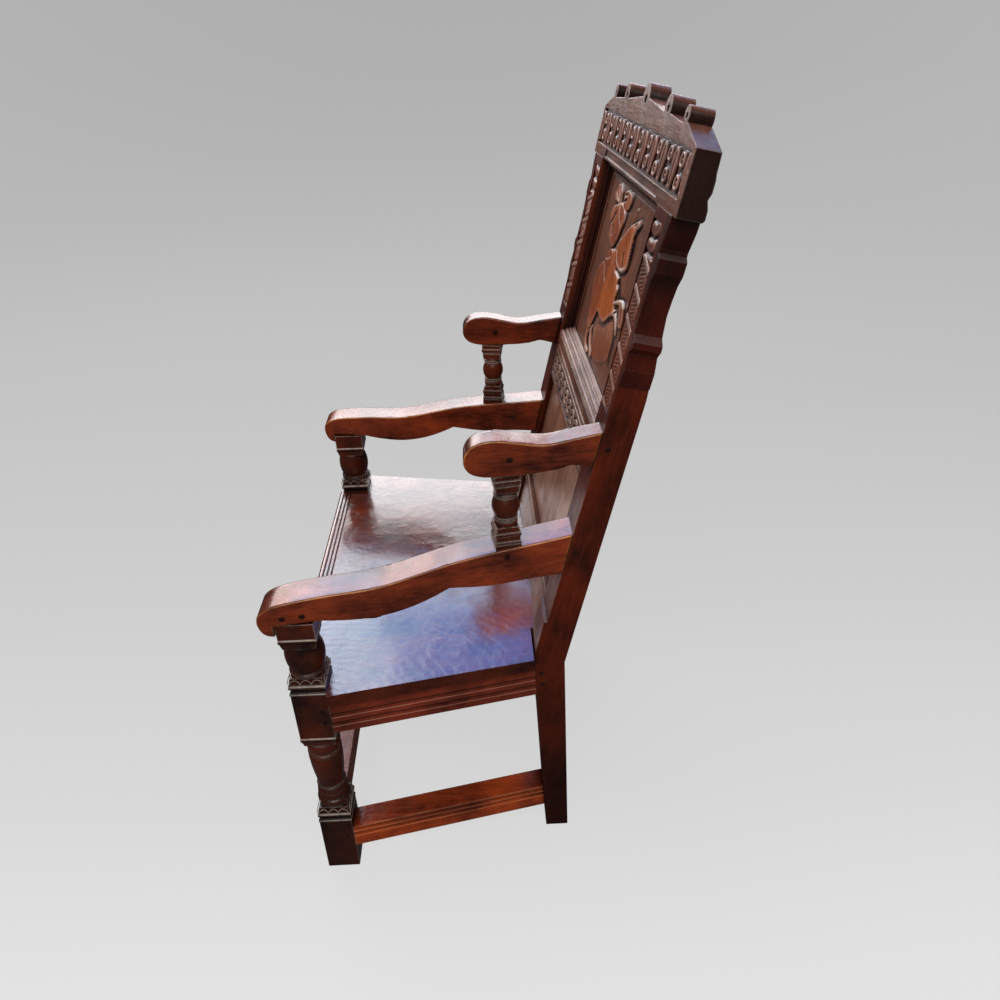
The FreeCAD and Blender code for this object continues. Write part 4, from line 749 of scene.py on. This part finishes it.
# Lines along the beast that swell it a little and carry a painted highlight, each a half width and
# points.
beast_lines = [
    (2.6, [(-71, 539), (-53, 527), (-37, 518)]),
    (2.6, [(-64, 630), (-49, 615), (-29, 604)]),
    (3.0, [(-112, 640), (-98, 634), (-82, 632)]),
    (3.4, [(-3, 575), (9, 564), (30, 557), (50, 557), (66, 565)]),
    (3.4, [(55, 512), (69, 519), (87, 525), (103, 527), (116, 523)]),
    (3.0, [(66, 500), (78, 503), (90, 498), (104, 488)]),
    (2.6, [(-75, 424), (-70, 412), (-52, 401)]),
    (2.6, [(-54, 438), (-40, 424), (-10, 406)]),
    (2.4, [(-50, 655), (-52, 646), (-50, 636)]),
    (2.6, [(-24, 628), (-14, 622), (-16, 606)]),
    (2.4, [(70, 613), (78, 624), (86, 632)]),
    (2.2, [(-72, 546), (-54, 549), (-40, 556)]),
    (2.6, [(40, 642), (48, 645)]),
    (2.2, [(-34, 444), (-28, 430), (-16, 418)]),
]
# Painted shadows on the ground beside the beast's forms, each a width and points.
beast_shadows = [
    (9.0, [(44, 553), (46, 543), (62, 532), (70, 522)]),
    (9.0, [(92, 480), (104, 468), (104, 454), (108, 440)]),
    (7.0, [(-2, 640), (2, 652), (-6, 660)]),
    (7.0, [(76, 575), (78, 590), (74, 604)]),
    (6.0, [(-112, 612), (-120, 604)]),
]


def beast_shape(x, v):
    """The beast's height, painted highlight and painted shade, from its forms, cuts, lines and
    shadows.
    """
    height = np.zeros(x.shape)
    painted_shade = np.zeros(x.shape)
    for tall, soft, points in beast_forms.values():
        height = np.maximum(height, tall * pillow(inside_of(x, v, points), soft))
    for deep, wide, points in beast_cuts:
        away = line_distance(x, v, flowing(points, closed=False))
        cut = deep * (1 - np.clip(away / (wide / 2), 0, 1) ** 2)
        painted_shade = np.maximum(painted_shade, (height > 0.2) * 1.6 * cut / deep)
        height = np.where(height > 0.2, np.maximum(height - cut, 0.0), height)
    lit = np.zeros(x.shape)
    for wide, points in beast_lines:
        away = line_distance(x, v, flowing(points, closed=False))
        swell = np.clip(1 - away / wide, 0, 1)
        height = height + 0.6 * swell
        lit = np.maximum(lit, 1.1 * swell)
    for wide, points in beast_shadows:
        away = line_distance(x, v, flowing(points, closed=False))
        painted_shade = np.maximum(painted_shade, (height < 0.3) * np.clip(1.4 - 1.4 * away / wide, 0, 1))
    swell = 0.3 * np.sin(x * 0.051 + 0.7) * np.cos(v * 0.043) + 0.1 * np.sin(x * 0.23 + v * 0.31)
    height = height + swell * np.clip(height / 2.5, 0, 1)
    return height + punched(x, v, 0.2, 6.5) * (height < 0.3), lit, painted_shade


relief("panel_beast", (-171.7, 171.7), (395.2, 657.6), 1.1, 21.2, 21.7, beast_shape, beast_oak,
       rim_light=0.25, rim_shade=1.0)
# The moulding is darkened by deep painted shade in the corners of the panel's recess.
moulding_oak = oak("moulding_oak", "1e0905", "4c1a0f", "a86a4c", lie=(rake, 0, 0), gloss=0.32,
                   reach_in=0.02, grime_and_shade=1.0)
for side in ("left", "right", "top"):
    dress("panel_moulding_" + side, moulding_oak)

# Rails of the back. The middle one has a band of two interlaced ribbons with bosses
# between them, under plain beads and a moulded sill.
# The rails' arrises take a pale worn colour at full share: wear, and a painted highlight along
# them.
rail_oak = oak("back_rail_oak", "54281a", "9a604a", "f0dcc8", wax_and_shade="180a06", lie=(rake, 0, 0),
               along="X", gloss=0.3, wear_and_highlight=1.0, reach_in=0.010, grime_and_shade=1.0, edge_reach=0.0028)
dress("back_mid_rail", rail_oak)
dress("back_bottom_rail", rail_oak)
ribbon_oak = oak("ribbon_oak", "5c3426", "96685a", "dccabf", wax_and_shade="1c0a06", lie=(rake, 0, 0),
                 along="X", wear_and_highlight=0.6, grime_and_shade=0.9, ground=("3a140c", "6a2c1c"))
ribbon_period = 39.0


def ribbon_shape(x, v):
    """The band's height: two ribbons, the bosses between them and leaves at the edges."""
    height = np.zeros(x.shape)
    for phase in (0.0, math.pi):
        line = 320.0 + 10.5 * np.sin(math.pi * x / ribbon_period + phase)
        slope = 10.5 * math.pi / ribbon_period * np.cos(math.pi * x / ribbon_period + phase)
        away = np.abs(v - line) / np.sqrt(1 + slope * slope)
        ribbon = 2.2 * pillow(4.4 - away, 2.4) - 0.9 * np.clip(1 - away / 1.2, 0, 1)
        height = np.maximum(height, ribbon)
    boss_x = x - (np.round(x / ribbon_period - 0.5) + 0.5) * ribbon_period
    boss = (1 - np.hypot(boss_x / 5.0, (v - 320) / 4.2)) * 4.5
    height = np.maximum(height, 2.2 * pillow(boss, 3.5))
    corner_x = x - np.round(x / ribbon_period) * ribbon_period
    for edge in (303.0, 337.0):
        leaf = np.hypot(corner_x / 9.0, (v - edge) / 6.0)
        height = np.maximum(height, 1.8 * pillow((1 - leaf) * 5, 3.0))
    return height + punched(x, v, 0.2, 2.6) * (height < 0.5), 0.0, 0.0


relief("rail_ribbons", (-189.8, 189.8), (302.2, 337.8), 0.8, 2.25, 2.7, ribbon_shape, ribbon_oak,
       rim_light=0.5, rim_shade=0.6)

# Lower panel. Plain riven oak, rubbed smooth and pale by sitters' backs, between the
# middle rail and the bottom one.
lower_panel_oak = oak("lower_panel_oak", "74422e", "bc8a72", "b8a397", lie=(rake, 0, 0), gloss=0.34)
dress("lower_panel", lower_panel_oak)

# Arms, lower and upper, sawn to a curve, shaped by hand and polished by use, with all their
# outer edges worn round. A small turned baluster stands between the two of each side.
# The arms' rounded edges are painted golden along their middles, as wear and a painted highlight.
arm_oak = oak("arm_oak", "380f06", "a0401c", "f0b060", along="Y", gloss=0.24, coat=0.5, wear_and_highlight=0.9,
              streak=0.5, end_share=0.75, rubbed_and_highlight=True)
arm_round = 0.0035
shortest_outline = 0.06
fold_turn = -0.8


def outline_edges(made):
    """The sharp outer edges of a board's two sides, without the small rims of its holes."""
    sharp = [e for e in made.edges if len(e.link_faces) == 2
             and e.calc_face_angle_signed(0.0) > math.radians(35)
             and min(abs(f.normal.x) for f in e.link_faces) < 0.5
             and max(abs(f.normal.x) for f in e.link_faces) > 0.95]
    left = set(sharp)
    chosen = []
    while left:
        chain = [left.pop()]
        for edge in chain:
            for other in [e for v in edge.verts for e in v.link_edges if e in left]:
                left.discard(other)
                chain.append(other)
        if sum(e.calc_length() for e in chain) > shortest_outline:
            chosen += chain
    return chosen


def merge_folds(made, reach_back):
    """Merges the corners where a flat side's outline runs a short way back on itself."""
    for side in [f for f in made.faces if abs(f.normal.x) > 0.9 and len(f.verts) > 20]:
        for loop in side.loops:
            here, after = loop.vert, loop.link_loop_next.vert
            ahead = after.co - here.co
            behind = here.co - loop.link_loop_prev.vert.co
            folded = ahead.dot(behind) < fold_turn * ahead.length * behind.length
            if folded and ahead.length < reach_back:
                bmesh.ops.pointmerge(made, verts=[here, after], merge_co=after.co.copy())
                merge_folds(made, reach_back)
                return


def worn_round(node, radius, material):
    """Stands in for a node with a copy whose outline edges are worn round. The middles of
    the rounded edges are marked, for the finish, as rubbed and given a painted highlight."""
    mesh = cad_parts[node].data.copy()
    made = bmesh.new()
    made.from_mesh(mesh)
    bmesh.ops.remove_doubles(made, verts=made.verts, dist=1e-6)
    bmesh.ops.dissolve_limit(made, angle_limit=math.radians(0.1), verts=made.verts,
                             edges=made.edges)
    bare = made.faces.layers.float.new("rubbed_and_highlight")
    rounded = bmesh.ops.bevel(made, geom=outline_edges(made), offset=radius, offset_type="OFFSET",
                              segments=3, profile=0.5, affect="EDGES", clamp_overlap=False)
    rounded = {face for face in rounded["faces"] if face.is_valid}
    for face in rounded:
        around = [f for e in face.edges for f in e.link_faces if f is not face]
        face[bare] = float(all(f in rounded for f in around))
    merge_folds(made, 2 * radius)
    made.to_mesh(mesh)
    made.free()
    mesh.materials.clear()
    mesh.materials.append(material)
    mesh.shade_smooth()
    mesh.set_sharp_from_angle(angle=math.radians(32))
    rough_copy = placed(node + "_copy", mesh)
    evening = rough_copy.modifiers.new("evening", "WEIGHTED_NORMAL")
    evening.keep_sharp = True
    graph = bpy.context.evaluated_depsgraph_get()
    even = bpy.data.meshes.new_from_object(rough_copy.evaluated_get(graph), depsgraph=graph)
    bpy.data.objects.remove(rough_copy)
    even.name = node + "_worn"
    piece = placed(node + "_worn", even)
    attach(piece, "root")
    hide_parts(node)


for side in ("left", "right"):
    worn_round("lower_arm_" + side, arm_round, arm_oak)
    worn_round("upper_arm_" + side, arm_round, arm_oak)
    dress("arm_baluster_" + side, post_oak)

# Seat board, with faint arched grain, polished by use to a mirror but for one patch near
# the back that is worn bare and red.
bare_shift = (-0.15, -0.06, -0.44)
bare_wide = 0.08
bare_colour = "9c4028"
arch_shift = (-0.33, 0.16, -0.44)
arch_scale = (1.0, 0.7, 1.0)
# The seat's upright faces get painted shade.
seat_oak = oak("seat_oak", "2c0e09", "78321e", "b5622f", along="Y", gloss=0.22, coat=0.9,
               waver=0.55, streak=0.3, flank_shade=0.3,
               arches=(bare_shift, bare_wide, bare_colour, arch_shift, arch_scale))
dress("seat_board", seat_oak)

# Seat rails and stretchers. The side ones have two scratched grooves each, drawn with
# painted shade under each groove's upper side and a painted highlight on its lower lip, and
# the stretchers are the most orange of the wood.
seat_rail_oak = oak("seat_rail_oak", "3a130a", "74301c", "b0583a", along="X", gloss=0.3)
dress("front_seat_rail", seat_rail_oak)
dress("rear_seat_rail", seat_rail_oak)
rail_low, rail_high = (corner.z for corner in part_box("side_seat_rail_left"))


def groove_lines(low, high, shares):
    """Painted shade under the upper side and a painted highlight on the lower lip of scratched
    grooves.
    """
    middles = [low + share * (high - low) for share in shares]
    return ([(z + 0.003, 0.0023, 0.85, False) for z in middles]
            + [(z - 0.0046, 0.0008, 0.5, True) for z in middles])


rail_lines = groove_lines(rail_low, rail_high, (0.26, 0.54))
stretcher_low, stretcher_high = (corner.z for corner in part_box("side_stretcher_left"))
stretcher_lines = groove_lines(stretcher_low, stretcher_high, (0.60, 0.84))
side_rail_oak = oak("side_rail_oak", "42160b", "963c24", "d09884", along="Y", gloss=0.24, wear_and_highlight=0.9,
                    streak=0.4, reach_in=0.025, grime_and_shade=1.0, painted_lines=rail_lines)
# The stretchers get painted shade near the posts and a bright worn colour at their edges: wear and
# a painted highlight.
stretcher_oak = oak("stretcher_oak", "40130a", "bc4c20", "f09058", along="Y", gloss=0.26, wear_and_highlight=1.0,
                    streak=0.4, reach_in=0.05, grime_and_shade=1.0, edge_reach=0.004, painted_lines=stretcher_lines)
for side in ("left", "right"):
    dress("side_seat_rail_" + side, side_rail_oak)
    dress("side_stretcher_" + side, stretcher_oak)
cross_stretcher_oak = oak("cross_stretcher_oak", "4e1a0a", "98441c", "c86a30", along="X", gloss=0.3)
dress("front_stretcher", cross_stretcher_oak)
dress("rear_stretcher", cross_stretcher_oak)

# Pegs, of dark oak, cut nearly flush. They hold the joints of the seat frame, the
# stretchers, the arms and the stiles.
peg_oak = oak("peg_oak", "200a06", "3c160c", "5a3026", along="X", gloss=0.4, grime_and_shade=0.2)
for group in ("seat_frame", "stretcher", "lower_arm", "upper_arm", "stile"):
    dress(group + "_pegs", peg_oak)
